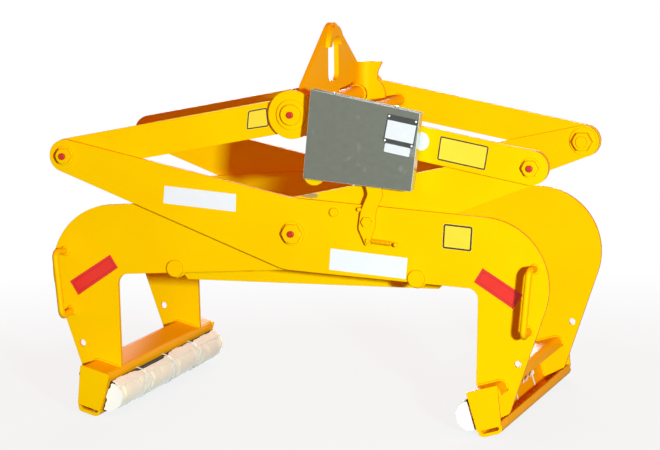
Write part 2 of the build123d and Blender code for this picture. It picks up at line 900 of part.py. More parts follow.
with BuildPart() as nut_blank:
    with BuildSketch():
        RegularPolygon(bolt_af / 2, 6, major_radius=False)
        Circle(pin_r + fit, mode=Mode.SUBTRACT)
    extrude(amount=nut_h)
    with BuildSketch(Plane.XZ):
        with BuildLine():
            Polyline(
                (0, 0),
                (bolt_af, 0),
                (bolt_af / 2 + 2 * hex_edge, nut_h - 3 * hex_edge / 2),
                (bolt_af / 2 - hex_edge / 2, nut_h),
                (0, nut_h),
                close=True,
            )
        make_face()
    revolve(axis=Axis.Z, mode=Mode.INTERSECT)


def set_front(blank, x, z, y):
    """Copy of a blank on the jaw plane at height y of the depth, facing the front."""
    return jaw_plane(1, y).location * Pos(x, z, 0) * blank.part


def set_rear(blank, x, z, y):
    """Copy of a blank on the jaw plane at height y of the depth, facing the rear."""
    return jaw_plane(-1, y).location * Pos(-x, z, 0) * blank.part


# Head tube with the through pin, its washers, rear nut and grease cap.
with BuildPart() as head_tube:
    with BuildSketch(jaw_plane(1, room_half - layer_gap)):
        with Locations((0, head_z)):
            Circle(tube_r)
            Circle(pin_r + fit, mode=Mode.SUBTRACT)
    extrude(amount=2 * (room_half - layer_gap))
head_tube.part.label = "head_tube"
export_step(head_tube.part, "parts/head_tube.step")

head_face = outer_half + side_play
head_seat = head_face + washer_t

with BuildPart() as head_pin:
    with BuildSketch(jaw_plane(1, head_seat + nut_h + thread_out)):
        with Locations((0, head_z)):
            Circle(pin_r)
    extrude(amount=2 * head_seat + nut_h + thread_out)
    with BuildSketch(jaw_plane(1, -head_seat)):
        with Locations((0, head_z)):
            Circle(head_collar_r)
    extrude(amount=head_collar_t)
    chamfer(head_pin.edges().group_by(Axis.Y)[0], 1.5)
head_pin.part.label = "head_pin"
export_step(head_pin.part, "parts/head_pin.step")

with BuildPart() as head_washers:
    for y in (-head_face, head_seat):
        with BuildSketch(jaw_plane(1, y)):
            with Locations((0, head_z)):
                Circle(head_washer_r)
                Circle(pin_r + fit, mode=Mode.SUBTRACT)
        extrude(amount=washer_t)
head_washers.part.label = "head_washers"
export_step(head_washers.part, "parts/head_washers.step")

head_nut_blank = set_rear(nut_blank, 0, head_z, head_seat)
with BuildPart() as head_nut:
    add(head_nut_blank)
head_nut.part.label = "head_nut"
export_step(head_nut.part, "parts/head_nut.step")

with BuildPart() as head_cap:
    with BuildSketch(jaw_plane(1, -head_seat - head_collar_t)):
        with Locations((0, head_z)):
            Circle(cap_r)
    extrude(amount=cap_h)
    fillet(head_cap.edges().group_by(Axis.Y)[0], 2.5)
head_cap.part.label = "head_cap"
export_step(head_cap.part, "parts/head_cap.step")

# Pivot hardware of the right jaw: central pivot and left arm end, front and rear.
jaw_pins = ((0.0, 0.0), (-arm_x, arm_z))
link_pins = ((arm_x, arm_z),)
bolt_seat = outer_half + washer_t
bolt_top = bolt_seat + bolt_head
inner_seat = room_half - side_play
nut_seat = inner_seat - washer_t
nut_end = nut_seat - nut_h
bolt_end = nut_end - thread_out

jaw_blanks = (pivot_blank, arm_blank)
right_jaw_heads = [set_front(b, x, z, -bolt_seat) for b, (x, z) in zip(jaw_blanks, jaw_pins)]
right_jaw_heads += [set_rear(b, x, z, bolt_seat) for b, (x, z) in zip(jaw_blanks, jaw_pins)]
with BuildPart() as right_jaw_bolts:
    for y in (-bolt_end, bolt_seat):
        with BuildSketch(jaw_plane(1, y)):
            with Locations(*jaw_pins):
                Circle(pin_r)
        extrude(amount=bolt_seat - bolt_end)
    add(right_jaw_heads)
right_jaw_bolts.part.label = "right_jaw_bolts"
export_step(right_jaw_bolts.part, "parts/right_jaw_bolts.step")

right_jaw_nut_set = [set_rear(nut_blank, x, z, -nut_seat) for x, z in jaw_pins]
right_jaw_nut_set += [set_front(nut_blank, x, z, nut_seat) for x, z in jaw_pins]
with BuildPart() as right_jaw_nuts:
    add(right_jaw_nut_set)
right_jaw_nuts.part.label = "right_jaw_nuts"
export_step(right_jaw_nuts.part, "parts/right_jaw_nuts.step")

with BuildPart() as right_jaw_washers:
    for y, sizes in (
        (-outer_half, (washer_r, arm_washer_r)),
        (bolt_seat, (washer_r, arm_washer_r)),
        (-nut_seat, (inner_washer_r, inner_washer_r)),
        (inner_seat, (inner_washer_r, inner_washer_r)),
    ):
        with BuildSketch(jaw_plane(1, y)):
            for pin, r in zip(jaw_pins, sizes):
                with Locations(pin):
                    Circle(r)
                    Circle(pin_r + fit, mode=Mode.SUBTRACT)
        extrude(amount=washer_t)
right_jaw_washers.part.label = "right_jaw_washers"
export_step(right_jaw_washers.part, "parts/right_jaw_washers.step")

with BuildPart() as right_jaw_caps:
    with BuildSketch(jaw_plane(1, -bolt_top)):
        with Locations(*jaw_pins):
            Circle(cap_r)
    extrude(amount=cap_h)
    fillet(right_jaw_caps.edges().group_by(Axis.Y)[0], 2.5)
right_jaw_caps.part.label = "right_jaw_caps"
export_step(right_jaw_caps.part, "parts/right_jaw_caps.step")

# Pivot hardware of the right link at its outer end, front and rear.
right_link_heads = [set_front(arm_blank, x, z, -bolt_seat) for x, z in link_pins]
right_link_heads += [set_rear(arm_blank, x, z, bolt_seat) for x, z in link_pins]
with BuildPart() as right_link_bolts:
    for y in (-bolt_end, bolt_seat):
        with BuildSketch(jaw_plane(1, y)):
            with Locations(*link_pins):
                Circle(pin_r)
        extrude(amount=bolt_seat - bolt_end)
    add(right_link_heads)
right_link_bolts.part.label = "right_link_bolts"
export_step(right_link_bolts.part, "parts/right_link_bolts.step")

right_link_nut_set = [set_rear(nut_blank, x, z, -nut_seat) for x, z in link_pins]
right_link_nut_set += [set_front(nut_blank, x, z, nut_seat) for x, z in link_pins]
with BuildPart() as right_link_nuts:
    add(right_link_nut_set)
right_link_nuts.part.label = "right_link_nuts"
export_step(right_link_nuts.part, "parts/right_link_nuts.step")

with BuildPart() as right_link_washers:
    for y, r in (
        (-outer_half, arm_washer_r),
        (bolt_seat, arm_washer_r),
        (-nut_seat, inner_washer_r),
        (inner_seat, inner_washer_r),
    ):
        with BuildSketch(jaw_plane(1, y)):
            with Locations(*link_pins):
                Circle(r)
                Circle(pin_r + fit, mode=Mode.SUBTRACT)
        extrude(amount=washer_t)
right_link_washers.part.label = "right_link_washers"
export_step(right_link_washers.part, "parts/right_link_washers.step")

with BuildPart() as right_link_cap:
    with BuildSketch(jaw_plane(1, -bolt_top)):
        with Locations(*link_pins):
            Circle(cap_r)
    extrude(amount=cap_h)
    fillet(right_link_cap.edges().group_by(Axis.Y)[0], 2.5)
right_link_cap.part.label = "right_link_cap"
export_step(right_link_cap.part, "parts/right_link_cap.step")

# Sheet cover over the catch, open at the back, carried by two angle brackets.
with BuildPart() as catch_cover:
    with BuildSketch(link_plane(1, -cover_back)):
        with BuildLine():
            rounded([(x, z, cover_edge) for x, z in cover_pts])
        make_face()
    extrude(amount=cover_front - cover_back)
    offset(
        amount=-cover_t,
        openings=catch_cover.faces().sort_by(Axis.Y)[-1],
        kind=Kind.INTERSECTION,
    )
catch_cover.part.label = "catch_cover"
export_step(catch_cover.part, "parts/catch_cover.step")

cover_roof = cover_pts[0][1] - cover_t
with BuildPart() as cover_brackets:
    for x in bracket_at:
        with BuildSketch(link_plane(1, -outer_half)):
            with Locations((x, (cover_roof + bracket_low) / 2)):
                Rectangle(bracket_w, cover_roof - bracket_low)
        extrude(amount=bracket_t)
        with BuildSketch(link_plane(1, -outer_half)):
            with Locations((x, cover_roof - bracket_t / 2)):
                Rectangle(bracket_w, bracket_t)
        extrude(amount=cover_back - outer_half + bracket_in)
cover_brackets.part.label = "cover_brackets"
export_step(cover_brackets.part, "parts/cover_brackets.step")

with BuildPart() as cover_screws:
    for x in bracket_at:
        roof = link_plane(1, -(cover_back + bracket_in / 2))
        with BuildSketch(
            Plane(
                origin=roof.from_local_coords((x, cover_pts[0][1], 0)),
                x_dir=roof.x_dir,
                z_dir=roof.y_dir,
            )
        ):
            Circle(screw_r)
        extrude(amount=screw_h)
    fillet(cover_screws.edges().group_by(Axis.Z)[-1], 1.0)
cover_screws.part.label = "cover_screws"
export_step(cover_screws.part, "parts/cover_screws.step")

# Two blank plates riveted on the cover.
with BuildPart() as name_plate:
    with BuildSketch(link_plane(1, -cover_front)):
        with Locations((name_x, name_z)):
            RectangleRounded(name_w, name_h, 3.0)
    extrude(amount=name_t)
name_plate.part.label = "name_plate"
export_step(name_plate.part, "parts/name_plate.step")

with BuildPart() as tag_plate:
    with BuildSketch(link_plane(1, -cover_front)):
        with Locations((name_x, tag_z)):
            RectangleRounded(tag_w, tag_h, 2.0)
    extrude(amount=name_t)
tag_plate.part.label = "tag_plate"
export_step(tag_plate.part, "parts/tag_plate.step")

with BuildPart() as plate_rivets:
    with BuildSketch(link_plane(1, -cover_front - name_t)):
        with Locations((name_x, name_z)):
            with GridLocations(name_w - 10, name_h - 10, 2, 2):
                Circle(rivet_r)
    extrude(amount=rivet_h)
plate_rivets.part.label = "plate_rivets"
export_step(plate_rivets.part, "parts/plate_rivets.step")

# Keeper under the right link with the pin that the catch lever holds.
keep_local = link_plane(1, 0).to_local_coords(Vector(keep_x, 0, pivot_z + keep_z))
with BuildPart() as catch_keeper:
    with BuildSketch(link_plane(1, -outer_back)):
        with Locations((keep_local.X, (keep_local.Y - link_half) / 2)):
            Rectangle(2 * keep_half, -link_half - keep_local.Y)
        with Locations((keep_local.X, keep_local.Y)):
            Circle(keep_half)
    extrude(amount=plate_t)
    with BuildSketch(link_plane(1, -outer_half)):
        with Locations((keep_local.X, keep_local.Y)):
            Circle(keep_r)
    extrude(amount=lever_gap + lever_t)
catch_keeper.part.label = "catch_keeper"
export_step(catch_keeper.part, "parts/catch_keeper.step")

# Trip bar that hangs from the right link behind the cover, with its bolt.
lever_back = outer_half + lever_gap + lever_play
lever_top = lever_back + lever_t
lever_face = lever_top + lever_play
with BuildPart() as trip_bar:
    with BuildSketch(jaw_plane(1, -lever_back)):
        with BuildLine():
            CenterArc((trip_x, trip_z), trip_top_r, 0, 360)
            CenterArc((trip_x - trip_lean, trip_z - trip_hang), trip_low_r, 0, 360)
        make_hull()
        with Locations((trip_x, trip_z)):
            Circle(trip_pin_r + fit, mode=Mode.SUBTRACT)
    extrude(amount=lever_t)
trip_bar.part.label = "trip_bar"
export_step(trip_bar.part, "parts/trip_bar.step")

with BuildPart() as trip_bolt:
    with BuildSketch(jaw_plane(1, -outer_half)):
        with Locations((trip_x, trip_z)):
            Circle(lever_boss_r)
    extrude(amount=lever_gap)
    with BuildSketch(jaw_plane(1, -outer_half - lever_gap)):
        with Locations((trip_x, trip_z)):
            Circle(trip_pin_r)
    extrude(amount=lever_face - outer_half - lever_gap)
    with BuildSketch(jaw_plane(1, -lever_face)):
        with Locations((trip_x, trip_z)):
            RegularPolygon(trip_head_af / 2, 6, major_radius=False)
    extrude(amount=trip_head)
trip_bolt.part.label = "trip_bolt"
export_step(trip_bolt.part, "parts/trip_bolt.step")

# Catch lever on the right front plate, with its pivot bolt, stop pin and spring.
with BuildPart() as catch_lever:
    with BuildSketch(jaw_plane(1, -lever_back)):
        with BuildLine():
            rounded([(lever_x + x, lever_z + z, r) for x, z, r in lever_outline])
        make_face()
        with Locations((lever_x, lever_z)):
            Circle(lever_pin_r + fit, mode=Mode.SUBTRACT)
    extrude(amount=lever_t)
catch_lever.part.label = "catch_lever"
export_step(catch_lever.part, "parts/catch_lever.step")

with BuildPart() as lever_bolt:
    with BuildSketch(jaw_plane(1, -outer_half)):
        with Locations((lever_x, lever_z)):
            Circle(lever_boss_r)
    extrude(amount=lever_gap)
    with BuildSketch(jaw_plane(1, -outer_half - lever_gap)):
        with Locations((lever_x, lever_z)):
            Circle(lever_pin_r)
    extrude(amount=lever_face - outer_half - lever_gap)
    with BuildSketch(jaw_plane(1, -lever_face)):
        with Locations((lever_x, lever_z)):
            RegularPolygon(lever_head_af / 2, 6, major_radius=False)
    extrude(amount=lever_head)
lever_bolt.part.label = "lever_bolt"
export_step(lever_bolt.part, "parts/lever_bolt.step")

with BuildPart() as stop_pin:
    with BuildSketch(jaw_plane(1, -outer_half)):
        with Locations((stop_x, stop_z)):
            Circle(stop_r)
    extrude(amount=lever_gap + lever_t)
stop_pin.part.label = "stop_pin"
export_step(stop_pin.part, "parts/stop_pin.step")

with BuildPart() as stop_boss:
    with BuildSketch(jaw_plane(1, -outer_half)):
        with Locations((boss_x, boss_z)):
            Circle(boss_r)
    extrude(amount=boss_h)
    fillet(stop_boss.edges().group_by(Axis.Y)[0], 2.0)
stop_boss.part.label = "stop_boss"
export_step(stop_boss.part, "parts/stop_boss.step")

# Spring studs: one on the lever, one on the plate; the spring hooks hang on both.
loop_y = lever_top + lever_play + 2 * wire_r
stud_end = loop_y + wire_r + lever_play
with BuildPart() as lever_stud:
    with BuildSketch(jaw_plane(1, -lever_top)):
        with Locations((stud_ax, stud_az)):
            Circle(stud_r)
    extrude(amount=stud_end - lever_top)
    with BuildSketch(jaw_plane(1, -stud_end)):
        with Locations((stud_ax, stud_az)):
            Circle(stud_head_r)
    extrude(amount=stud_head_t)
lever_stud.part.label = "lever_stud"
export_step(lever_stud.part, "parts/lever_stud.step")

with BuildPart() as plate_stud:
    with BuildSketch(jaw_plane(1, -outer_half)):
        with Locations((stud_bx, stud_bz)):
            Circle(stud_r)
    extrude(amount=stud_end - outer_half)
    with BuildSketch(jaw_plane(1, -stud_end)):
        with Locations((stud_bx, stud_bz)):
            Circle(stud_head_r)
    extrude(amount=stud_head_t)
plate_stud.part.label = "plate_stud"
export_step(plate_stud.part, "parts/plate_stud.step")

# Tension spring: open coil with a hook at each end, drawn as arcs of half a turn.
span = hypot(stud_bx - stud_ax, stud_bz - stud_az)
ax_x = (stud_bx - stud_ax) / span
ax_z = (stud_bz - stud_az) / span
coil_from = leg_a + loop_r
coil_len = span - coil_from - leg_b - loop_r
coil_pitch = coil_len / coil_turns
coil_y = loop_y - coil_r
slant = loop_r * sin(pi / 4)


def spring_point(along, out, up):
    """Point in the spring's axes: along the coil, out to the front, up across it."""
    return (
        stud_ax + along * ax_x - up * ax_z,
        -coil_y - out,
        pivot_z + stud_az + along * ax_z + up * ax_x,
    )


def coil_point(turn):
    """Point on the coil after the given number of turns."""
    a = 2 * pi * turn
    return spring_point(coil_from + coil_pitch * turn, coil_r * cos(a), coil_r * sin(a))


def near(along, up):
    """Point on the hook at the lever."""
    return spring_point(along, coil_r, up)


def far(along, up):
    """Point on the hook at the plate, counted back from its stud."""
    return spring_point(span - along, coil_r, -up)


with BuildPart() as catch_spring:
    with BuildLine() as spring_path:
        ThreePointArc(near(loop_r, 0), near(slant, slant), near(0, loop_r))
        ThreePointArc(near(0, loop_r), near(-loop_r, 0), near(0, -loop_r))
        Line(near(0, -loop_r), near(leg_a, -loop_r))
        ThreePointArc(near(leg_a, -loop_r), near(leg_a + slant, -slant), near(coil_from, 0))
        for k in range(2 * coil_turns):
            ThreePointArc(coil_point(k / 2), coil_point(k / 2 + 0.25), coil_point(k / 2 + 0.5))
        ThreePointArc(far(leg_b + loop_r, 0), far(leg_b + slant, -slant), far(leg_b, -loop_r))
        Line(far(leg_b, -loop_r), far(0, -loop_r))
        ThreePointArc(far(0, -loop_r), far(-loop_r, 0), far(0, loop_r))
        ThreePointArc(far(0, loop_r), far(slant, slant), far(loop_r, 0))
    with BuildSketch(Plane(origin=spring_path.line @ 0, z_dir=spring_path.line % 0)):
        Circle(wire_r)
    sweep()
catch_spring.part.label = "catch_spring"
export_step(catch_spring.part, "parts/catch_spring.step")

# Least gap of the spring to itself, on points half a wire apart along it.
spring_wire = spring_path.wires()[0]
steps = int(spring_wire.length / wire_r * 2)
dots = [spring_wire @ (i / steps) for i in range(steps + 1)]
apart = 12
least = min((a - b).length for i, a in enumerate(dots) for b in dots[i + apart :])
print("spring least gap to itself", round(least - 2 * wire_r, 2))
print("pivot height", round(pivot_z, 2), "link length", round(link_len, 2))
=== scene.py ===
import math

import bmesh
import bpy
from mathutils import Matrix, Vector


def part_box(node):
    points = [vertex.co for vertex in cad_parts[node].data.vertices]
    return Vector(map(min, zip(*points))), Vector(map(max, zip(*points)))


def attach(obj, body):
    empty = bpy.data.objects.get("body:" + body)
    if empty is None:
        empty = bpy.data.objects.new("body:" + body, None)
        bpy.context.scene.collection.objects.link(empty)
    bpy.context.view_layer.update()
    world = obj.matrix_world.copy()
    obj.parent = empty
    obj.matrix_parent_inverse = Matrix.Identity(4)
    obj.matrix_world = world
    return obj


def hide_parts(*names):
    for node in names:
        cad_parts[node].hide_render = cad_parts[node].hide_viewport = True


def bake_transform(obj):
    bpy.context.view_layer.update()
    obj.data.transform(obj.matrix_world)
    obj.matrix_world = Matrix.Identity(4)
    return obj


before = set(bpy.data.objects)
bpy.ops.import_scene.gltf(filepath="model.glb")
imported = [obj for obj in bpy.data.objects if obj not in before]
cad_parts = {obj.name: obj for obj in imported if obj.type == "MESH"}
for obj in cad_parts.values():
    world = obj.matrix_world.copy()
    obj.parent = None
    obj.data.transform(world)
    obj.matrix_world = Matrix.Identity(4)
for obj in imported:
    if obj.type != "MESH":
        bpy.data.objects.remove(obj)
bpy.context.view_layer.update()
scene = bpy.context.scene
scene.view_settings.view_transform = "Standard"

# Camera: a long lens seven metres away, to the right of the clamp's middle and a little above it,
# as the photograph was taken.
stand = (2.1175, -6.9386, 1.4524)
turn, dip, tilt = 16.978, 7.886, -0.502
eye = bpy.data.objects.new("eye", bpy.data.cameras.new("eye"))
eye.data.sensor_width = 36.0
eye.data.lens = 155.45
eye.matrix_world = (
    Matrix.Translation(stand)
    @ Matrix.Rotation(math.radians(turn), 4, "Z")
    @ Matrix.Rotation(math.radians(90 - dip), 4, "X")
    @ Matrix.Rotation(math.radians(tilt), 4, "Z")
)
scene.collection.objects.link(eye)
scene.camera = eye


# Studio floor: a pale board under the clamp that keeps its shadow and fades into the white
# background two metres out.
def linear(code):
    """sRGB hex colour to linear RGBA."""
    parts = [int(code[i : i + 2], 16) / 255 for i in (1, 3, 5)]
    return (*(c / 12.92 if c <= 0.04045 else ((c + 0.055) / 1.055) ** 2.4 for c in parts), 1.0)


def shade(tree, kind, feeds=(), **settings):
    """Add one shader node: its own settings first, then each socket's value or link."""
    made = tree.nodes.new("ShaderNode" + kind)
    for name, value in settings.items():
        setattr(made, name, value)
    for socket, value in dict(feeds).items():
        if isinstance(value, bpy.types.NodeSocket):
            tree.links.new(value, made.inputs[socket])
        else:
            made.inputs[socket].default_value = value
    return made


def new_piece(name, form, finishes):
    """Turn a bmesh into an object at the origin, with its materials in order."""
    mesh = bpy.data.meshes.new(name)
    form.to_mesh(mesh)
    form.free()
    for finish in finishes:
        mesh.materials.append(finish)
    piece = bpy.data.objects.new(name, mesh)
    scene.collection.objects.link(piece)
    return piece


def white_sight(tree):
    """Mask of the rays that see plain white: those of the camera, of gloss and of glass."""
    rays = shade(tree, "LightPath").outputs
    seen = rays["Is Camera Ray"]
    for kind in ("Is Glossy Ray", "Is Transmission Ray"):
        seen = shade(tree, "Math", {0: seen, 1: rays[kind]}, operation="MAXIMUM").outputs["Value"]
    return seen


# A colour mix takes its two colours on these sockets and gives the result on that output.
mix_a, mix_b, mix_out = 6, 7, 2
fade_from, fade_to, near_glow = 1.0, 2.3, 0.84
board = bpy.data.materials.new("matt_white_board")
board.use_nodes = True
tree = board.node_tree
tree.nodes.clear()
place = shade(tree, "TexCoord").outputs["Object"]
reach = shade(tree, "VectorMath", {0: place}, operation="LENGTH").outputs["Value"]
far = shade(
    tree,
    "MapRange",
    {"Value": reach, "From Min": fade_from, "From Max": fade_to, "To Min": near_glow},
).outputs["Result"]
seen = white_sight(tree)
glow = shade(tree, "Math", {0: far, 1: seen}, operation="MULTIPLY").outputs["Value"]
tone = shade(
    tree,
    "Mix",
    {"Factor": seen, mix_a: linear("#6E6A66"), mix_b: linear("#C4DCE0")},
    data_type="RGBA",
).outputs[mix_out]
matt = shade(tree, "BsdfDiffuse", {"Color": tone}).outputs["BSDF"]
white = shade(tree, "Emission", {"Color": (1, 1, 1, 1), "Strength": 1.0}).outputs["Emission"]
blend = shade(tree, "MixShader", {0: glow, 1: matt, 2: white}).outputs["Shader"]
shade(tree, "OutputMaterial", {"Surface": blend})
form = bmesh.new()
bmesh.ops.create_circle(form, cap_ends=True, segments=96, radius=30.0)
floor = new_piece("studio_floor", form, [board])

# Studio light: a softbox at the camera's right, a wide one at its left, one overhead and one
# behind, in a dim warm room that shows white to the camera and in reflections.
aim = Vector((0, 0, 0.45))
for name, where, size, power, tint in (
    ("key_softbox", (3.27, -5.2, 1.25), 0.32, 440.0, (0.72, 0.99, 1.06)),
    ("fill_softbox", (-2.6, -5.2, 2.6), 2.6, 14.0, (1.0, 0.92, 0.8)),
    ("top_softbox", (0.3, -0.4, 4.2), 3.0, 12.0, (1.0, 0.85, 0.7)),
    ("back_softbox", (-1.3, 5.6, 1.2), 2.4, 310.0, (0.9, 0.98, 1.0)),
):
    lamp = bpy.data.lights.new(name, "AREA")
    lamp.size = size
    lamp.energy = power
    lamp.color = tint
    box = bpy.data.objects.new(name, lamp)
    box.location = where
    box.rotation_euler = (aim - Vector(where)).to_track_quat("-Z", "Y").to_euler()
    scene.collection.objects.link(box)

room = bpy.data.worlds.new("studio_room")
room.use_nodes = True
scene.world = room
tree = room.node_tree
tree.nodes.clear()
dim = shade(tree, "Background", {"Color": (1.0, 0.1, 0.03, 1.0), "Strength": 0.43}).outputs[0]
bright = shade(tree, "Background", {"Color": (1.0, 1.0, 1.0, 1.0), "Strength": 1.0}).outputs[0]
blend = shade(tree, "MixShader", {0: white_sight(tree), 1: dim, 2: bright}).outputs[0]
shade(tree, "OutputWorld", {"Surface": blend})

# Jaw plates: flame-cut 12 mm steel boomerangs, sprayed with yellow machine enamel that dries to an
# even, nearly shineless skin. The cut edges are broken first, with painted shade along them.
enamel = bpy.data.materials.new("alkyd_machine_enamel")
enamel.use_nodes = True
tree = enamel.node_tree
paint = tree.nodes["Principled BSDF"]
paint.inputs["IOR"].default_value = 1.5
paint.inputs["Specular IOR Level"].default_value = 0.02
place = shade(tree, "TexCoord").outputs["Object"]
# Broken edges of about 1.5 mm, from the faces that meet there.
soft_edge = shade(tree, "Bevel", {"Radius": 0.0016}, samples=6).outputs["Normal"]
face = shade(tree, "NewGeometry").outputs["Normal"]
lean = shade(tree, "VectorMath", {0: soft_edge, 1: face}, operation="DOT_PRODUCT").outputs["Value"]
edge = shade(
    tree, "MapRange", {"Value": lean, "From Min": 0.985, "From Max": 0.8}
).outputs["Result"]
# Painted shade: cut edges, flanges and other faces not facing front or back are a deeper orange.
own = shade(tree, "TexCoord").outputs["Normal"]
across = shade(tree, "SeparateXYZ", {"Vector": own}).outputs["Y"]
across = shade(tree, "Math", {0: across}, operation="ABSOLUTE").outputs["Value"]
front_faces_unshaded = shade(
    tree, "MapRange", {"Value": across, "From Min": 0.6, "From Max": 0.95}
).outputs["Result"]
# Spraying leaves patches a hand wide that are a touch deeper in colour.
patch = shade(tree, "TexNoise", {"Vector": place, "Scale": 4.5, "Detail": 3.0}).outputs["Fac"]
patch = shade(
    tree, "MapRange", {"Value": patch, "From Min": 0.35, "From Max": 0.7}
).outputs["Result"]
coat = shade(
    tree,
    "Mix",
    {"Factor": patch, mix_a: linear("#FDC900"), mix_b: linear("#FBC200")},
    data_type="RGBA",
).outputs[mix_out]
# The side faces take the painted shade; front and back faces keep the sprayed coat.
coat = shade(
    tree,
    "Mix",
    {"Factor": front_faces_unshaded, mix_a: linear("#FFB000"), mix_b: coat},
    data_type="RGBA",
).outputs[mix_out]
# Painted shade along the broken edges, a tone between the front faces and the shaded sides.
edge_shade_tone = shade(
    tree,
    "Mix",
    {"Factor": edge, mix_a: coat, mix_b: linear("#FFBE08")},
    data_type="RGBA",
).outputs[mix_out]
# Small chips down to grey primer, a few millimetres long, along the edges only.
flake = shade(
    tree, "TexNoise", {"Vector": place, "Scale": 120.0, "Detail": 5.0, "Roughness": 0.65}
).outputs["Fac"]
knocked = shade(tree, "Math", {0: flake, 1: edge}, operation="MULTIPLY").outputs["Value"]
chip = shade(
    tree, "MapRange", {"Value": knocked, "From Min": 0.6, "From Max": 0.64}
).outputs["Result"]
top = shade(
    tree,
    "Mix",
    {"Factor": chip, mix_a: edge_shade_tone, mix_b: linear("#7C7468")},
    data_type="RGBA",
).outputs[mix_out]
# A grey spot 50 mm long is drawn on the inner front plate where the crossing plate leaves it.
grey_spot_at, grey_spot_narrow = (0.039, -0.303, 0.5632), (38.0, 100.0, 130.0)
grey_spot = shade(tree, "VectorMath", {0: place, 1: grey_spot_at}, operation="SUBTRACT").outputs["Vector"]
grey_spot = shade(tree, "VectorMath", {0: grey_spot, 1: grey_spot_narrow}, operation="MULTIPLY").outputs["Vector"]
grey_spot = shade(tree, "VectorMath", {0: grey_spot}, operation="LENGTH").outputs["Value"]
grey_spot = shade(tree, "Math", {0: grey_spot, 1: flake}, operation="ADD").outputs["Value"]
grey_spot_mask = shade(
    tree, "MapRange", {"Value": grey_spot, "From Min": 1.5, "From Max": 1.2, "To Max": 0.8}
).outputs["Result"]
top = shade(
    tree,
    "Mix",
    {"Factor": grey_spot_mask, mix_a: top, mix_b: linear("#8E8062")},
    data_type="RGBA",
).outputs[mix_out]
tree.links.new(top, paint.inputs["Base Color"])
# Orange peel is finer than the picture shows, so it is drawn 5 mm wide.
peel = shade(tree, "TexNoise", {"Vector": place, "Scale": 200.0, "Detail": 1.5}).outputs["Fac"]
gloss = shade(tree, "MapRange", {"Value": peel, "To Min": 0.4, "To Max": 0.52}).outputs["Result"]
tree.links.new(gloss, paint.inputs["Roughness"])
skin = shade(
    tree, "Bump", {"Height": peel, "Strength": 0.1, "Distance": 0.001, "Normal": soft_edge}
)
tree.links.new(skin.outputs["Normal"], paint.inputs["Normal"])


def coat_nodes(finish, *names):
    """Give the named CAD nodes a finish."""
    for name in names:
        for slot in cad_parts[name].material_slots:
            slot.material = finish


coat_nodes(enamel, "right_plate_front", "right_plate_rear", "left_plate_front", "left_plate_rear")

# Cross bars: round bars through each jaw's two plates, welded to them on the inside. The welds are
# hand-laid beads with a ripple every 4 mm, painted over with the rest.
coat_nodes(enamel, "right_cross_bar", "left_cross_bar")
ripple, bead_sides = 0.004, 8


def bead(form, path, size, closed=False):
    """Lay a rippled bead along a path: one ring to a point, each swollen a little differently."""
    rings = []
    for i, point in enumerate(path):
        after = path[(i + 1) % len(path)] if closed or i + 1 < len(path) else point
        before = path[i - 1] if closed or i else point
        swell = size * (1 + 0.14 * math.sin(2.2 * i) + 0.09 * math.sin(0.73 * i + 1.0))
        if not closed and i in (0, len(path) - 1):
            swell *= 0.4
        turn = (after - before).to_track_quat("Z", "X").to_matrix().to_4x4()
        made = bmesh.ops.create_circle(
            form, segments=bead_sides, radius=swell, matrix=Matrix.Translation(point) @ turn
        )
        rings.append(list({e for v in made["verts"] for e in v.link_edges}))
    for here, there in zip(rings, rings[1:] + rings[:1] if closed else rings[1:]):
        bmesh.ops.bridge_loops(form, edges=here + there)
    if not closed:
        bmesh.ops.holes_fill(form, edges=rings[0] + rings[-1], sides=bead_sides)
    bmesh.ops.recalc_face_normals(form, faces=form.faces)


def around(x, y, z, radius):
    """Points round a bar that runs across the depth, half a ripple apart."""
    count = round(2 * math.pi * radius / (ripple / 2))
    turns = [2 * math.pi * i / count for i in range(count)]
    return [Vector((x + radius * math.cos(a), y, z + radius * math.sin(a))) for a in turns]


def along(start, end):
    """Points on a straight seam, half a ripple apart."""
    start, end = Vector(start), Vector(end)
    count = round((end - start).length / (ripple / 2))
    return [start.lerp(end, i / count) for i in range(count + 1)]


def weld_piece(name, form, body):
    """Finish one body's beads as a painted piece."""
    piece = new_piece(name, form, [enamel])
    piece.data.shade_smooth()
    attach(piece, body)


# Each jaw's side of the clamp, its name and how far out its plates' faces stand.
jaws = ((1, "right", 0.318), (-1, "left", 0.303))
plate_t = 0.012
bar_x, bar_z, bar_r, bar_bead = 0.31503, 0.3687, 0.0225, 0.0034
for side, hand, front in jaws:
    form = bmesh.new()
    for y in (-front + plate_t, front - plate_t):
        bead(form, around(side * bar_x, y, bar_z, bar_r), bar_bead, closed=True)
    weld_piece(hand + "_bar_welds", form, hand + "_jaw")

# Shoes: folded 8 mm channels with an end plate at each end, welded to the feet of the jaw plates
# along the top flange, over its lip and down the web.
coat_nodes(enamel, "right_shoe", "right_shoe_ends", "left_shoe", "left_shoe_ends")
shoe_lean, shoe_x, shoe_z = math.radians(16.0), 0.4915, -0.00332


def shoe_axes(side):
    """Axes of a shoe: out from the gripping face, along the depth, up the face."""
    c, s = math.cos(shoe_lean), math.sin(shoe_lean)
    return Matrix(
        (
            (side * c, 0, -side * s, side * shoe_x),
            (0, 1, 0, 0),
            (s, 0, c, shoe_z),
            (0, 0, 0, 1),
        )
    )


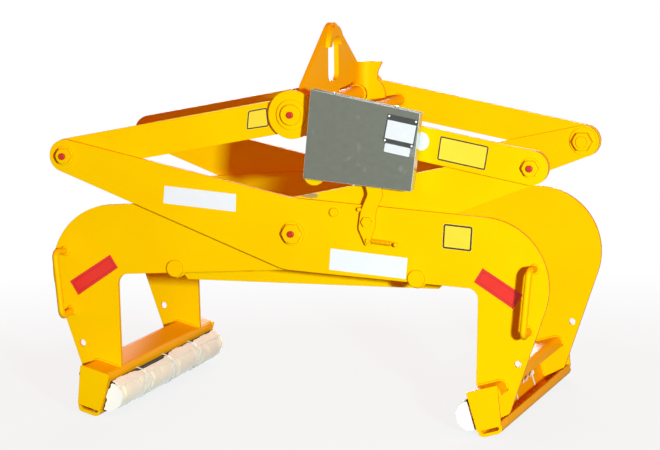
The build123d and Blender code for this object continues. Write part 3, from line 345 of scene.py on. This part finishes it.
# Corners of the seams in the shoe's own axes, outward and up: over the flange and lip, up the web.
flange_seam = (
    (0.012, 0.1165),
    (0.066, 0.1165),
    (0.0764, 0.1124),
    (0.0806, 0.102),
    (0.0806, 0.09),
)
web_seam = ((0.0085, 0.024), (0.0085, 0.1))
flange_bead, web_bead = 0.0036, 0.0032
filler_size, filler_at = (0.056, 0.0076, 0.0104), (0.031, 0.396, 0.0128)
for side, hand, front in jaws:
    form = bmesh.new()
    shoe = shoe_axes(side)
    for y in (-front, -front + plate_t, front - plate_t, front):
        stops = [shoe @ Vector((u, y, v)) for u, v in flange_seam]
        seam = [p for a, b in zip(stops, stops[1:]) for p in along(a, b)[:-1]]
        bead(form, seam, flange_bead)
        low, high = (shoe @ Vector((u, y, v)) for u, v in web_seam)
        bead(form, along(low, high), web_bead)
    weld_piece(hand + "_shoe_welds", form, hand + "_jaw")
    # A flat filler closes the slot under the rear end plate.
    form = bmesh.new()
    bmesh.ops.create_cube(form, size=1.0)
    bmesh.ops.scale(form, vec=filler_size, verts=form.verts)
    bmesh.ops.translate(form, vec=filler_at, verts=form.verts)
    bmesh.ops.transform(form, matrix=shoe, verts=form.verts)
    bmesh.ops.recalc_face_normals(form, faces=form.faces)
    filler = new_piece(hand + "_slot_filler", form, [enamel])
    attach(filler, hand + "_jaw")

# Rubber strips: black rubber sheet 12 mm thick between each shoe and its roll, cut with a knife, so
# its edges wave a little. Dust greys it in patches.
rubber = bpy.data.materials.new("vulcanised_rubber")
rubber.use_nodes = True
tree = rubber.node_tree
skin = tree.nodes["Principled BSDF"]
skin.inputs["IOR"].default_value = 1.52
place = shade(tree, "TexCoord").outputs["Object"]
dust = shade(tree, "TexNoise", {"Vector": place, "Scale": 26.0, "Detail": 5.0}).outputs["Fac"]
dust = shade(tree, "MapRange", {"Value": dust, "From Min": 0.5, "From Max": 0.75, "To Max": 0.55})
black = shade(
    tree,
    "Mix",
    {"Factor": dust.outputs["Result"], mix_a: linear("#1C1A19"), mix_b: linear("#4A4642")},
    data_type="RGBA",
).outputs[mix_out]
tree.links.new(black, skin.inputs["Base Color"])
grit = shade(tree, "TexNoise", {"Vector": place, "Scale": 420.0, "Detail": 3.0}).outputs["Fac"]
dull = shade(tree, "MapRange", {"Value": grit, "To Min": 0.6, "To Max": 0.85}).outputs["Result"]
tree.links.new(dull, skin.inputs["Roughness"])
rough = shade(tree, "Bump", {"Height": grit, "Strength": 0.25, "Distance": 0.0008})
tree.links.new(rough.outputs["Normal"], skin.inputs["Normal"])
pad_mid = 0.058
strip_size, strip_at = (0.0118, 0.757, 0.0756), (-0.006, 0, pad_mid)
strip_edge, strip_wave = 0.0022, 0.0007
for side, hand, _ in jaws:
    form = bmesh.new()
    bmesh.ops.create_cube(form, size=1.0)
    bmesh.ops.scale(form, vec=strip_size, verts=form.verts)
    bmesh.ops.translate(form, vec=strip_at, verts=form.verts)
    bmesh.ops.bevel(
        form,
        geom=form.edges,
        offset=strip_edge,
        affect="EDGES",
        segments=3,
        profile=0.5,
        material=-1,
    )
    long_edges = [e for e in form.edges if abs(e.verts[0].co.y - e.verts[1].co.y) > 0.5]
    bmesh.ops.subdivide_edges(form, edges=long_edges, cuts=48)
    for v in form.verts:
        v.co.z += strip_wave * math.sin(31 * v.co.y) * math.sin(11 * v.co.y + 1)
    bmesh.ops.transform(form, matrix=shoe_axes(side), verts=form.verts)
    bmesh.ops.recalc_face_normals(form, faces=form.faces)
    strip = new_piece(hand + "_rubber_strip", form, [rubber])
    strip.data.shade_smooth()
    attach(strip, hand + "_jaw")
    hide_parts(hand + "_rubber")

# Rolls: cream canvas sleeves stuffed with felt in front of the rubber, drawn in by three ties. The
# stuffing swells between the ties and the loose canvas puckers beside them.
canvas = bpy.data.materials.new("cotton_canvas")
canvas.use_nodes = True
tree = canvas.node_tree
cloth = tree.nodes["Principled BSDF"]
cloth.inputs["IOR"].default_value = 1.46
cloth.inputs["Specular IOR Level"].default_value = 0.25
cloth.inputs["Roughness"].default_value = 0.9
cloth.inputs["Sheen Weight"].default_value = 0.6
cloth.inputs["Sheen Roughness"].default_value = 0.5
place = shade(tree, "TexCoord").outputs["Object"]
soil = shade(tree, "TexNoise", {"Vector": place, "Scale": 16.0, "Detail": 5.0, "Roughness": 0.62})
soil = shade(tree, "MapRange", {"Value": soil.outputs["Fac"], "From Min": 0.52, "From Max": 0.85})
# Cotton threads are under a millimetre apart, so the weave is drawn at 2.4 mm.
threads = {"Vector": place, "Scale": 66.0, "Distortion": 0.6, "Detail": 1.0}
weft = shade(tree, "TexWave", threads, bands_direction="Y").outputs["Fac"]
warp = shade(tree, "TexWave", threads, bands_direction="Z").outputs["Fac"]
weave = shade(tree, "Math", {0: weft, 1: warp}, operation="MULTIPLY").outputs["Value"]
thread = shade(
    tree,
    "Mix",
    {"Factor": weave, mix_a: linear("#FFF4D4"), mix_b: linear("#FFF9DE")},
    data_type="RGBA",
).outputs[mix_out]
worn = shade(
    tree,
    "Mix",
    {"Factor": soil.outputs["Result"], mix_a: thread, mix_b: linear("#F2E0BC")},
    data_type="RGBA",
).outputs[mix_out]
# Painted light: the flat end caps, facing along the roll, are drawn whiter than the sleeve.
own = shade(tree, "TexCoord").outputs["Normal"]
across = shade(tree, "SeparateXYZ", {"Vector": own}).outputs["Y"]
across = shade(tree, "Math", {0: across}, operation="ABSOLUTE").outputs["Value"]
cap_face = shade(tree, "MapRange", {"Value": across, "From Min": 0.9, "From Max": 0.99})
caps_painted_light = shade(
    tree,
    "Mix",
    {"Factor": cap_face.outputs["Result"], mix_a: worn, mix_b: linear("#FFFCF0")},
    data_type="RGBA",
).outputs[mix_out]
tree.links.new(caps_painted_light, cloth.inputs["Base Color"])
nap = shade(tree, "TexNoise", {"Vector": place, "Scale": 300.0, "Detail": 3.0}).outputs["Fac"]
pile = shade(tree, "Math", {0: weave, 1: nap}, operation="ADD").outputs["Value"]
fuzz = shade(tree, "Bump", {"Height": pile, "Strength": 0.35, "Distance": 0.0008})
tree.links.new(fuzz.outputs["Normal"], cloth.inputs["Normal"])


def settled(piece):
    """A piece's mesh as its modifiers leave it."""
    graph = bpy.context.evaluated_depsgraph_get()
    return bpy.data.meshes.new_from_object(piece.evaluated_get(graph))


tie_at = (-0.193, 0.0, 0.193)
roll_back, roll_deep, roll_high = -0.0125, 0.0325, 0.0362
rubber_end, sewn_end, end_back = 0.3795, 0.384, -0.0015
# Rings stand 11 mm apart along half a roll, and closer where its end is sewn.
even_long, even_rings, end_rings = 0.376, 34, (0.3793, 0.3797, 0.3828, 0.3852)
ring_points = 40
# How far a tie and the end seam draw the canvas in, and how wide a tie's pull and grip reach.
tie_draw, end_draw, pull_reach, grip_reach = 0.06, 0.05, 0.01, 0.006
# Where the sewn end is held and how firmly, where the back is held, and the rubber's face.
end_from, end_grip, held_back, rubber_face = 0.378, 0.6, -0.0145, -0.0122
most_swell, steps = 0.005, 20
for side, hand, _ in jaws:
    form = bmesh.new()
    rings = []
    half = [*(even_long * i / even_rings for i in range(even_rings + 1)), *end_rings]
    for y in [-y for y in half[:0:-1]] + half:
        pull = min(abs(y - t) for t in tie_at)
        draw = 1.0 - tie_draw * math.exp(-((pull / pull_reach) ** 2))
        draw -= end_draw * (abs(y) > sewn_end)
        back = end_back if abs(y) > rubber_end else roll_back
        made = bmesh.ops.create_circle(
            form, segments=ring_points, radius=1.0, matrix=Matrix.Rotation(math.pi / 2, 4, "X")
        )
        for v in made["verts"]:
            behind = back if v.co.x > -0.05 else roll_back
            u = behind + min(0.0, roll_deep * draw * v.co.x)
            v.co = (u, y, pad_mid + roll_high * draw * v.co.z)
        rings.append(list({e for v in made["verts"] for e in v.link_edges}))
    for here, there in zip(rings, rings[1:]):
        bmesh.ops.bridge_loops(form, edges=here + there)
    bmesh.ops.holes_fill(form, edges=rings[0] + rings[-1], sides=ring_points)
    bmesh.ops.remove_doubles(form, verts=form.verts, dist=0.0002)
    bmesh.ops.recalc_face_normals(form, faces=form.faces)
    roll = new_piece(hand + "_padded_roll", form, [])
    grid = roll.modifiers.new("grid", "REMESH")
    grid.mode = "VOXEL"
    grid.voxel_size = 0.005
    bpy.context.view_layer.update()
    roll.data = settled(roll)
    roll.modifiers.clear()
    # Ties, ends and the back against the rubber hold the canvas; the rest swells by up to 5 mm.
    held = roll.vertex_groups.new(name="held")
    start = [v.co.copy() for v in roll.data.vertices]
    for v in roll.data.vertices:
        pull = min(abs(v.co.y - t) for t in tie_at)
        grip = max(math.exp(-((pull / grip_reach) ** 2)), float(v.co.x > held_back))
        if abs(v.co.y) > end_from:
            grip = max(grip, end_grip)
        held.add([v.index], grip, "REPLACE")
    puff = roll.modifiers.new("puff", "CLOTH")
    puff.settings.use_pressure = True
    puff.settings.uniform_pressure_force = 4.0
    puff.settings.quality = 6
    puff.settings.tension_stiffness = 25.0
    puff.settings.compression_stiffness = 25.0
    puff.settings.shear_stiffness = 10.0
    puff.settings.bending_stiffness = 1.5
    puff.settings.shrink_min = -0.02
    puff.settings.vertex_group_mass = "held"
    puff.settings.effector_weights.gravity = 0.0
    puff.point_cache.frame_end = steps
    for step in range(1, steps + 1):
        scene.frame_set(step)
    roll.data = settled(roll)
    roll.modifiers.clear()
    scene.frame_set(1)
    for v, first in zip(roll.data.vertices, start):
        moved = v.co - first
        v.co = first + moved * min(1.0, most_swell / max(moved.length, 1e-9))
        v.co.x = min(v.co.x, rubber_face)
    roll.vertex_groups.clear()
    roll.data.transform(shoe_axes(side))
    form = bmesh.new()
    form.from_mesh(roll.data)
    bmesh.ops.recalc_face_normals(form, faces=form.faces)
    form.to_mesh(roll.data)
    form.free()
    roll.data.materials.append(canvas)
    roll.data.shade_smooth()
    smooth = roll.modifiers.new("smooth", "SUBSURF")
    smooth.levels = smooth.render_levels = 1
    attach(roll, hand + "_jaw")
    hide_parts(hand + "_sleeve")

# Canvas hems: the sleeve's loose edge laid back over the rubber. It was torn off by hand, so it
# covers the rubber in some places and leaves it bare in others.
hem_long, hem_root, hem_least, hem_more = 0.768, -0.030, 0.0145, 0.0135
# Places where the rubber lies bare: the middle, half the length and how bare it is.
hem_gaps = ((-0.125, 0.12, 1.0), (0.26, 0.14, 0.25))
# How wide a tie holds the hem back, and where and over what length it climbs onto the rubber.
tie_gap, climb_from, climb_long = 0.012, -0.019, 0.006
hem_off, hem_step, hem_wave = 0.0002, 0.0032, 0.0006
for side, hand, _ in jaws:
    form = bmesh.new()
    bmesh.ops.create_grid(form, x_segments=150, y_segments=8, size=0.5)
    for v in form.verts:
        y = hem_long * v.co.x
        bare = sum(much * math.exp(-(((y - mid) / span) ** 4)) for mid, span, much in hem_gaps)
        cover = 0.8 - 1.1 * bare + 0.1 * math.sin(61 * side * y) + 0.06 * math.sin(233 * y)
        pull = min(abs(y - t) for t in tie_at)
        cover = min(1.0, max(0.0, cover)) * (1 - math.exp(-((pull / tie_gap) ** 2)))
        u = hem_root + (hem_least + hem_more * cover) * (v.co.y + 0.5)
        roof = pad_mid + roll_high * math.sqrt(1 - min(0.0, (u - roll_back) / roll_deep) ** 2)
        rise = min(1.0, max(0.0, (u - climb_from) / climb_long))
        v.co = (u, y, roof + hem_off + rise * (hem_step + hem_wave * math.sin(90 * y)))
    bmesh.ops.transform(form, matrix=shoe_axes(side), verts=form.verts)
    bmesh.ops.recalc_face_normals(form, faces=form.faces)
    hem = new_piece(hand + "_canvas_hem", form, [canvas])
    hem.data.shade_smooth()
    thick = hem.modifiers.new("thick", "SOLIDIFY")
    thick.thickness = 0.0012
    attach(hem, hand + "_jaw")

# Canvas ends: the flat caps sewn into the sleeve's ends. They reach back over the ends of the
# rubber with a loose edge.
cap_y, cap_t, cap_high, cap_reach = 0.3846, 0.0024, 0.0358, 0.0085
for side, hand, _ in jaws:
    form = bmesh.new()
    for y in (-cap_y, cap_y):
        made = bmesh.ops.create_circle(
            form,
            cap_ends=True,
            segments=64,
            radius=1.0,
            matrix=Matrix.Rotation(math.pi / 2, 4, "X"),
        )["verts"]
        flat = list({f for v in made for f in v.link_faces})
        for v in made:
            loose = cap_reach + 0.002 * math.sin(5.1 * v.co.z + 0.6)
            loose += 0.0012 * math.sin(13 * v.co.z + 2.0)
            back = loose * v.co.x**0.35 if v.co.x > 0 else roll_deep * v.co.x
            v.co = (roll_back + back, y, pad_mid + cap_high * v.co.z)
        grown = bmesh.ops.extrude_face_region(form, geom=flat)["geom"]
        moved = [g for g in grown if isinstance(g, bmesh.types.BMVert)]
        bmesh.ops.translate(form, vec=(0, math.copysign(cap_t, y), 0), verts=moved)
    bmesh.ops.transform(form, matrix=shoe_axes(side), verts=form.verts)
    bmesh.ops.recalc_face_normals(form, faces=form.faces)
    ends = new_piece(hand + "_canvas_ends", form, [canvas])
    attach(ends, hand + "_jaw")


# Ties: white nylon bands round roll, rubber and web. Their heads and cut tails sit on the back of
# the web, inside the channel.
def mottled(name, blotches, detail, tones, gloss):
    """A finish whose tone and roughness vary together in soft blotches, so many to the metre."""
    finish = bpy.data.materials.new(name)
    finish.use_nodes = True
    tree = finish.node_tree
    skin = tree.nodes["Principled BSDF"].inputs
    place = shade(tree, "TexCoord").outputs["Object"]
    fade = shade(tree, "TexNoise", {"Vector": place, "Scale": blotches, "Detail": detail})
    fade = fade.outputs["Fac"]
    tone = shade(
        tree,
        "Mix",
        {"Factor": fade, mix_a: linear(tones[0]), mix_b: linear(tones[1])},
        data_type="RGBA",
    ).outputs[mix_out]
    tree.links.new(tone, skin["Base Color"])
    satin = shade(tree, "MapRange", {"Value": fade, "To Min": gloss[0], "To Max": gloss[1]})
    tree.links.new(satin.outputs["Result"], skin["Roughness"])
    return finish, skin


nylon, band = mottled("natural_nylon", 55.0, 3.0, ("#E4E1D8", "#EFEDE7"), (0.35, 0.5))
band["IOR"].default_value = 1.53
band["Subsurface Weight"].default_value = 0.15
band["Subsurface Radius"].default_value = (0.004, 0.004, 0.003)
coat_nodes(nylon, "right_ties", "left_ties")
head_u, head_v, head_size = 0.0127, 0.053, (0.005, 0.0085, 0.0095)
tail_size, tail_root, tail_step = (0.0013, 1.0, 0.0048), 0.004, 0.0042
tail_steps = (9, 7, 36)
for side, hand, _ in jaws:
    form = bmesh.new()
    for k, y in enumerate(tie_at):
        made = bmesh.ops.create_cube(form, size=1.0)["verts"]
        bmesh.ops.scale(form, vec=head_size, verts=made)
        bmesh.ops.translate(form, vec=(head_u, y, head_v), verts=made)
        bmesh.ops.bevel(
            form,
            geom=list({e for v in made for e in v.link_edges}),
            offset=0.001,
            affect="EDGES",
            segments=2,
            profile=0.5,
            material=-1,
        )
        # The tail leaves the head along the web and curls away from it to its cut end.
        root = bmesh.ops.create_grid(
            form, x_segments=1, y_segments=1, size=0.5, matrix=Matrix.Rotation(math.pi / 2, 4, "X")
        )["verts"]
        bmesh.ops.scale(form, vec=tail_size, verts=root)
        bmesh.ops.translate(form, vec=(head_u, y - tail_root, head_v), verts=root)
        tip = list({f for v in root for f in v.link_faces})
        for step in range(tail_steps[k]):
            grown = bmesh.ops.extrude_face_region(form, geom=tip)["geom"]
            if step:
                bmesh.ops.delete(form, geom=tip, context="FACES")
            moved = [g for g in grown if isinstance(g, bmesh.types.BMVert)]
            tip = [g for g in grown if isinstance(g, bmesh.types.BMFace)]
            lean = 0.75 * math.sin(0.42 * step + k)
            curl = (0.0003 + 0.0005 * lean, -tail_step, 0.0018 * lean)
            bmesh.ops.translate(form, vec=curl, verts=moved)
    bmesh.ops.transform(form, matrix=shoe_axes(side), verts=form.verts)
    bmesh.ops.recalc_face_normals(form, faces=form.faces)
    heads = new_piece(hand + "_tie_heads", form, [nylon])
    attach(heads, hand + "_jaw")

# Handles: 17 mm round steel bar, bent cold and welded by its feet to the front plate of each jaw.
# The beads are laid round the feet and painted over.
coat_nodes(enamel, "right_handle", "left_handle")
feet = ((0.6104, 0.4031), (0.5959, 0.2511))
foot_r, foot_off, foot_bead = 0.0097, 0.0008, 0.0034
for side, hand, front in jaws:
    form = bmesh.new()
    for x, z in feet:
        bead(form, around(side * x, -front - foot_off, z, foot_r), foot_bead, closed=True)
    weld_piece(hand + "_handle_welds", form, hand + "_jaw")

# Opening straps: two flat bars between the cross bars, pinned on the right bar between welded
# collars and slotted over the left one.
coat_nodes(enamel, "opening_straps", "strap_collars")

# Links: flat bars from the jaws' arm ends up to the head, each pair joined by a round bar that is
# welded in between.
coat_nodes(enamel, "right_link_front", "right_link_rear", "right_link_bar")
coat_nodes(enamel, "left_link_front", "left_link_rear", "left_link_bar")
link_drop, link_reach = 0.116, 0.6
fall = math.atan2(link_drop, link_reach)
head_z, tie_bar_at, tie_bar_r, tie_bar_bead = 0.76318, 0.103, 0.0162, 0.003
for side, hand, front in jaws:
    form = bmesh.new()
    for y in (-front + plate_t, front - plate_t):
        x, z = side * tie_bar_at * math.cos(fall), head_z - tie_bar_at * math.sin(fall)
        bead(form, around(x, y, z, tie_bar_r), tie_bar_bead, closed=True)
    weld_piece(hand + "_link_welds", form, hand + "_link")

# Head: one bent plate with the slotted eye in its middle and a flange at each end, welded to the
# tube that turns on the head pin.
coat_nodes(enamel, "hook_bracket", "head_tube", "head_pin", "head_washers", "head_nut")
tube_r, tube_bead, tube_seams = 0.0238, 0.0036, (-0.2735, 0.2455, 0.2605)
form = bmesh.new()
for y in tube_seams:
    bead(form, around(0.0, y, head_z, tube_r), tube_bead, closed=True)
weld_piece("head_welds", form, "head")

# Pivot bolts: forged hex bolts with nuts and washers at the scissor pivot and the arm ends. They
# were fitted before spraying, so the paint runs over them.
coat_nodes(enamel, "right_jaw_bolts", "right_jaw_nuts", "right_jaw_washers")
coat_nodes(enamel, "right_link_bolts", "right_link_nuts", "right_link_washers")

# Grease caps: soft red polyethylene caps, moulded and pressed over the grease nipples of the front
# bolts. Dirt makes them blotchy, and the plastic lets a little light in.
poly, cap = mottled("polyethylene_cap", 140.0, 4.0, ("#A81208", "#DE2C16"), (0.3, 0.55))
cap["IOR"].default_value = 1.51
cap["Subsurface Weight"].default_value = 0.1
cap["Subsurface Radius"].default_value = (0.003, 0.001, 0.0008)
coat_nodes(poly, "head_cap", "right_jaw_caps", "right_link_cap")

# Catch: a flame-cut lever on the right front plate with its bolt, stop pin and boss, and the keeper
# and trip bar on the right link.
coat_nodes(enamel, "catch_lever", "lever_bolt", "stop_pin", "stop_boss", "catch_keeper")
coat_nodes(enamel, "trip_bar", "trip_bolt")

# Catch spring: drawn steel wire hooked over a stud on the lever and one on the plate, painted over
# with them. It stretches between the two as the lever turns.
coat_nodes(enamel, "lever_stud", "plate_stud")
form = bmesh.new()
form.from_mesh(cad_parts["catch_spring"].data)
bmesh.ops.remove_doubles(form, verts=form.verts, dist=0.00002)
spring = new_piece("tension_spring", form, [enamel])
spring.data.shade_smooth()
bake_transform(spring)
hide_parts("catch_spring")

# Cover screws: zinc plated steel screws that hold the cover to its brackets from above. The
# plating is pale with a slightly frosted bloom.
zinc, metal = mottled("zinc_plated_steel", 90.0, 4.0, ("#B9B4A8", "#D6D2C8"), (0.22, 0.42))
metal["Metallic"].default_value = 1.0
coat_nodes(zinc, "cover_screws")

# Cover: 2 mm galvanised sheet folded to a tray over the catch, on two angle brackets. The zinc is
# dull with faint spangle and pale smears, and a highlight is painted along the folds.
galvanised = bpy.data.materials.new("galvanised_sheet")
galvanised.use_nodes = True
tree = galvanised.node_tree
sheet = tree.nodes["Principled BSDF"]
sheet.inputs["Metallic"].default_value = 0.85
place = shade(tree, "TexCoord").outputs["Object"]
fold = shade(tree, "Bevel", {"Radius": 0.0025}, samples=6).outputs["Normal"]
face = shade(tree, "NewGeometry").outputs["Normal"]
lean = shade(tree, "VectorMath", {0: fold, 1: face}, operation="DOT_PRODUCT").outputs["Value"]
# Painted highlight: near white where the bevel rounds the folds.
fold_highlight_mask = shade(
    tree, "MapRange", {"Value": lean, "From Min": 0.97, "From Max": 0.8}
).outputs["Result"]
# Painted light: the narrow folded ends are drawn pale. They are smoother and mirror the paint
# beside them.
own = shade(tree, "TexCoord").outputs["Normal"]
length = shade(tree, "SeparateXYZ", {"Vector": own}).outputs["X"]
length = shade(tree, "Math", {0: length}, operation="ABSOLUTE").outputs["Value"]
side_face = shade(
    tree, "MapRange", {"Value": length, "From Min": 0.6, "From Max": 0.9}
).outputs["Result"]
# Spangle crystals about 9 mm across.
spangle = shade(tree, "TexVoronoi", {"Vector": place, "Scale": 110.0}).outputs["Color"]
spangle = shade(tree, "SeparateColor", {"Color": spangle}).outputs["Red"]
smear = shade(tree, "TexNoise", {"Vector": place, "Scale": 13.0, "Detail": 4.0, "Roughness": 0.6})
smear = shade(tree, "MapRange", {"Value": smear.outputs["Fac"], "From Min": 0.58, "From Max": 0.8})
flower = shade(
    tree,
    "Mix",
    {"Factor": spangle, mix_a: linear("#6D6C61"), mix_b: linear("#747267")},
    data_type="RGBA",
).outputs[mix_out]
wiped = shade(
    tree,
    "Mix",
    {"Factor": smear.outputs["Result"], mix_a: flower, mix_b: linear("#97968C")},
    data_type="RGBA",
).outputs[mix_out]
# The folded ends take the pale painted-light colour.
ends_painted_light = shade(
    tree,
    "Mix",
    {"Factor": side_face, mix_a: wiped, mix_b: linear("#D2CEC4")},
    data_type="RGBA",
).outputs[mix_out]
# The folds take the painted highlight colour.
bright = shade(
    tree,
    "Mix",
    {"Factor": fold_highlight_mask, mix_a: ends_painted_light, mix_b: linear("#F0EFEA")},
    data_type="RGBA",
).outputs[mix_out]
tree.links.new(bright, sheet.inputs["Base Color"])
dull = shade(tree, "MapRange", {"Value": spangle, "To Min": 0.56, "To Max": 0.68}).outputs["Result"]
mirror = shade(
    tree, "MapRange", {"Value": side_face, "To Min": 1.0, "To Max": 0.3}
).outputs["Result"]
dull = shade(tree, "Math", {0: dull, 1: mirror}, operation="MULTIPLY").outputs["Value"]
tree.links.new(dull, sheet.inputs["Roughness"])
tree.links.new(fold, sheet.inputs["Normal"])
coat_nodes(galvanised, "catch_cover", "cover_brackets")

# Plates on the cover: a printed aluminium plate with a dark frame and bands, and a small tag under
# it, both blank, held by pop rivets.
anodised, lacquer = mottled(
    "white_printed_aluminium", 60.0, 4.0, ("#DCDCDA", "#E9E9E7"), (0.3, 0.45)
)
lacquer["IOR"].default_value = 1.5
ink, print_coat = mottled("dark_printing_ink", 80.0, 4.0, ("#2A2A29", "#43423F"), (0.35, 0.5))
print_coat["IOR"].default_value = 1.5
alloy, stud = mottled("aluminium_rivet", 400.0, 3.0, ("#E6E6E4", "#F6F6F4"), (0.45, 0.65))
stud["Metallic"].default_value = 1.0
coat_nodes(alloy, "plate_rivets")
plate_corner = 0.0036
for node, wide, high, rim, bands in (
    ("name_plate", 0.078, 0.070, 0.003, (0.0205, -0.0245)),
    ("tag_plate", 0.066, 0.023, 0.0008, ()),
):
    low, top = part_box(node)
    form = bmesh.new()
    bmesh.ops.create_cube(form, size=1.0)
    bmesh.ops.scale(form, vec=(wide, top.y - low.y, high), verts=form.verts)
    bmesh.ops.bevel(
        form,
        geom=[e for e in form.edges if abs(e.verts[0].co.y - e.verts[1].co.y) > 0.0005],
        offset=plate_corner,
        affect="EDGES",
        segments=4,
        profile=0.5,
        material=-1,
    )
    shown = [f for f in form.faces if f.normal.y < -0.9]
    rims = bmesh.ops.inset_region(form, faces=shown, thickness=rim, use_even_offset=True)["faces"]
    for f in rims:
        f.material_index = 1
    for height in bands:
        bmesh.ops.bisect_plane(
            form,
            geom=list(form.verts) + list(form.edges) + list(form.faces),
            plane_co=(0, 0, height),
            plane_no=(0, 0, 1),
        )
    if bands:
        for f in form.faces:
            middle = f.calc_center_median()
            if f.normal.y < -0.9 and not bands[1] < middle.z < bands[0]:
                f.material_index = 1
    bmesh.ops.rotate(form, cent=(0, 0, 0), matrix=Matrix.Rotation(fall, 3, "Y"), verts=form.verts)
    bmesh.ops.translate(form, vec=(low + top) / 2, verts=form.verts)
    plate = new_piece("blank_" + node, form, [anodised, ink])
    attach(plate, "right_link")
    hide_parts(node)

# Stickers: blank self-adhesive vinyl on plates and links. Two white ones, two red ones with a
# darker frame, three yellow ones with round corners and a black frame, and a round white one.
vinyls = {}
for name, low_tone, high_tone in (
    ("white", "#E8E8E6", "#F0F0EE"),
    ("red", "#DE2216", "#E42C1E"),
    ("deep_red", "#A81410", "#B41C14"),
    ("yellow", "#F6CE22", "#FAD632"),
    ("black", "#201A14", "#302A22"),
):
    vinyls[name], film = mottled(
        name + "_vinyl_film", 35.0, 4.0, (low_tone, high_tone), (0.32, 0.48)
    )
    film["IOR"].default_value = 1.53

pivot_z, outer_face, inner_face = 0.46968, -0.318, -0.303
film_t, film_off = 0.0005, 0.0001


def lift_film(form):
    """Give a flat film its thickness towards the front, and return its shown faces."""
    grown = bmesh.ops.extrude_face_region(form, geom=list(form.faces))["geom"]
    lifted = [g for g in grown if isinstance(g, bmesh.types.BMVert)]
    bmesh.ops.translate(form, vec=(0, -film_t, 0), verts=lifted)
    return [g for g in grown if isinstance(g, bmesh.types.BMFace)]


for name, body, front, corners, round_off, gap, rim, films in (
    (
        "long_white_sticker",
        "right_jaw",
        outer_face,
        ((-0.334, 0.109), (-0.146, 0.093), (-0.148, 0.049), (-0.338, 0.065)),
        0.001,
        0,
        0,
        ("white",),
    ),
    (
        "low_white_sticker",
        "right_jaw",
        outer_face,
        ((0.097, -0.034), (0.293, -0.051), (0.288, -0.103), (0.093, -0.087)),
        0.001,
        0,
        0,
        ("white",),
    ),
    (
        "left_red_sticker",
        "left_jaw",
        inner_face,
        ((-0.489, -0.072), (-0.468, -0.105), (-0.577, -0.179), (-0.599, -0.144)),
        0,
        0.006,
        0.0016,
        ("red", "red", "deep_red"),
    ),
    (
        "right_red_sticker",
        "right_jaw",
        outer_face,
        ((0.481, -0.069), (0.459, -0.104), (0.556, -0.166), (0.581, -0.131)),
        0,
        0.006,
        0.0016,
        ("red", "red", "deep_red"),
    ),
    (
        "left_link_sticker",
        "left_link",
        inner_face,
        ((-0.118, 0.300), (-0.067, 0.310), (-0.062, 0.261), (-0.123, 0.251)),
        0.0065,
        0.0012,
        0.0032,
        ("yellow", "yellow", "black"),
    ),
    (
        "right_plate_sticker",
        "right_jaw",
        outer_face,
        ((0.383, 0.038), (0.458, 0.032), (0.454, -0.031), (0.379, -0.025)),
        0.007,
        0.0014,
        0.0042,
        ("yellow", "yellow", "black"),
    ),
    (
        "right_link_sticker",
        "right_link",
        outer_face,
        ((0.377, 0.250), (0.497, 0.227), (0.487, 0.169), (0.368, 0.192)),
        0.0048,
        0.0002,
        0.0032,
        ("yellow", "black", "black"),
    ),
):
    form = bmesh.new()
    spots = [form.verts.new((x, 0, z + pivot_z)) for x, z in corners]
    bmesh.ops.contextual_create(form, geom=spots)
    if round_off:
        bmesh.ops.bevel(
            form,
            geom=form.verts,
            offset=round_off,
            affect="VERTICES",
            segments=5,
            profile=0.5,
            material=-1,
        )
    shown = lift_film(form)
    if rim:
        for index, width in ((1, gap), (2, rim)):
            border = bmesh.ops.inset_region(
                form, faces=shown, thickness=width, use_even_offset=True
            )["faces"]
            for f in border:
                f.material_index = index
    bmesh.ops.translate(form, vec=(0, front + film_off, 0), verts=form.verts)
    bmesh.ops.recalc_face_normals(form, faces=form.faces)
    label = new_piece(name, form, [vinyls[f] for f in films])
    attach(label, body)

dot_at, dot_r = (0.326, outer_face + film_off, 0.236 + pivot_z), 0.0225
form = bmesh.new()
bmesh.ops.create_circle(
    form,
    cap_ends=True,
    segments=48,
    radius=dot_r,
    matrix=Matrix.Translation(dot_at) @ Matrix.Rotation(math.pi / 2, 4, "X"),
)
lift_film(form)
bmesh.ops.recalc_face_normals(form, faces=form.faces)
label = new_piece("round_white_sticker", form, [vinyls["white"]])
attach(label, "right_link")
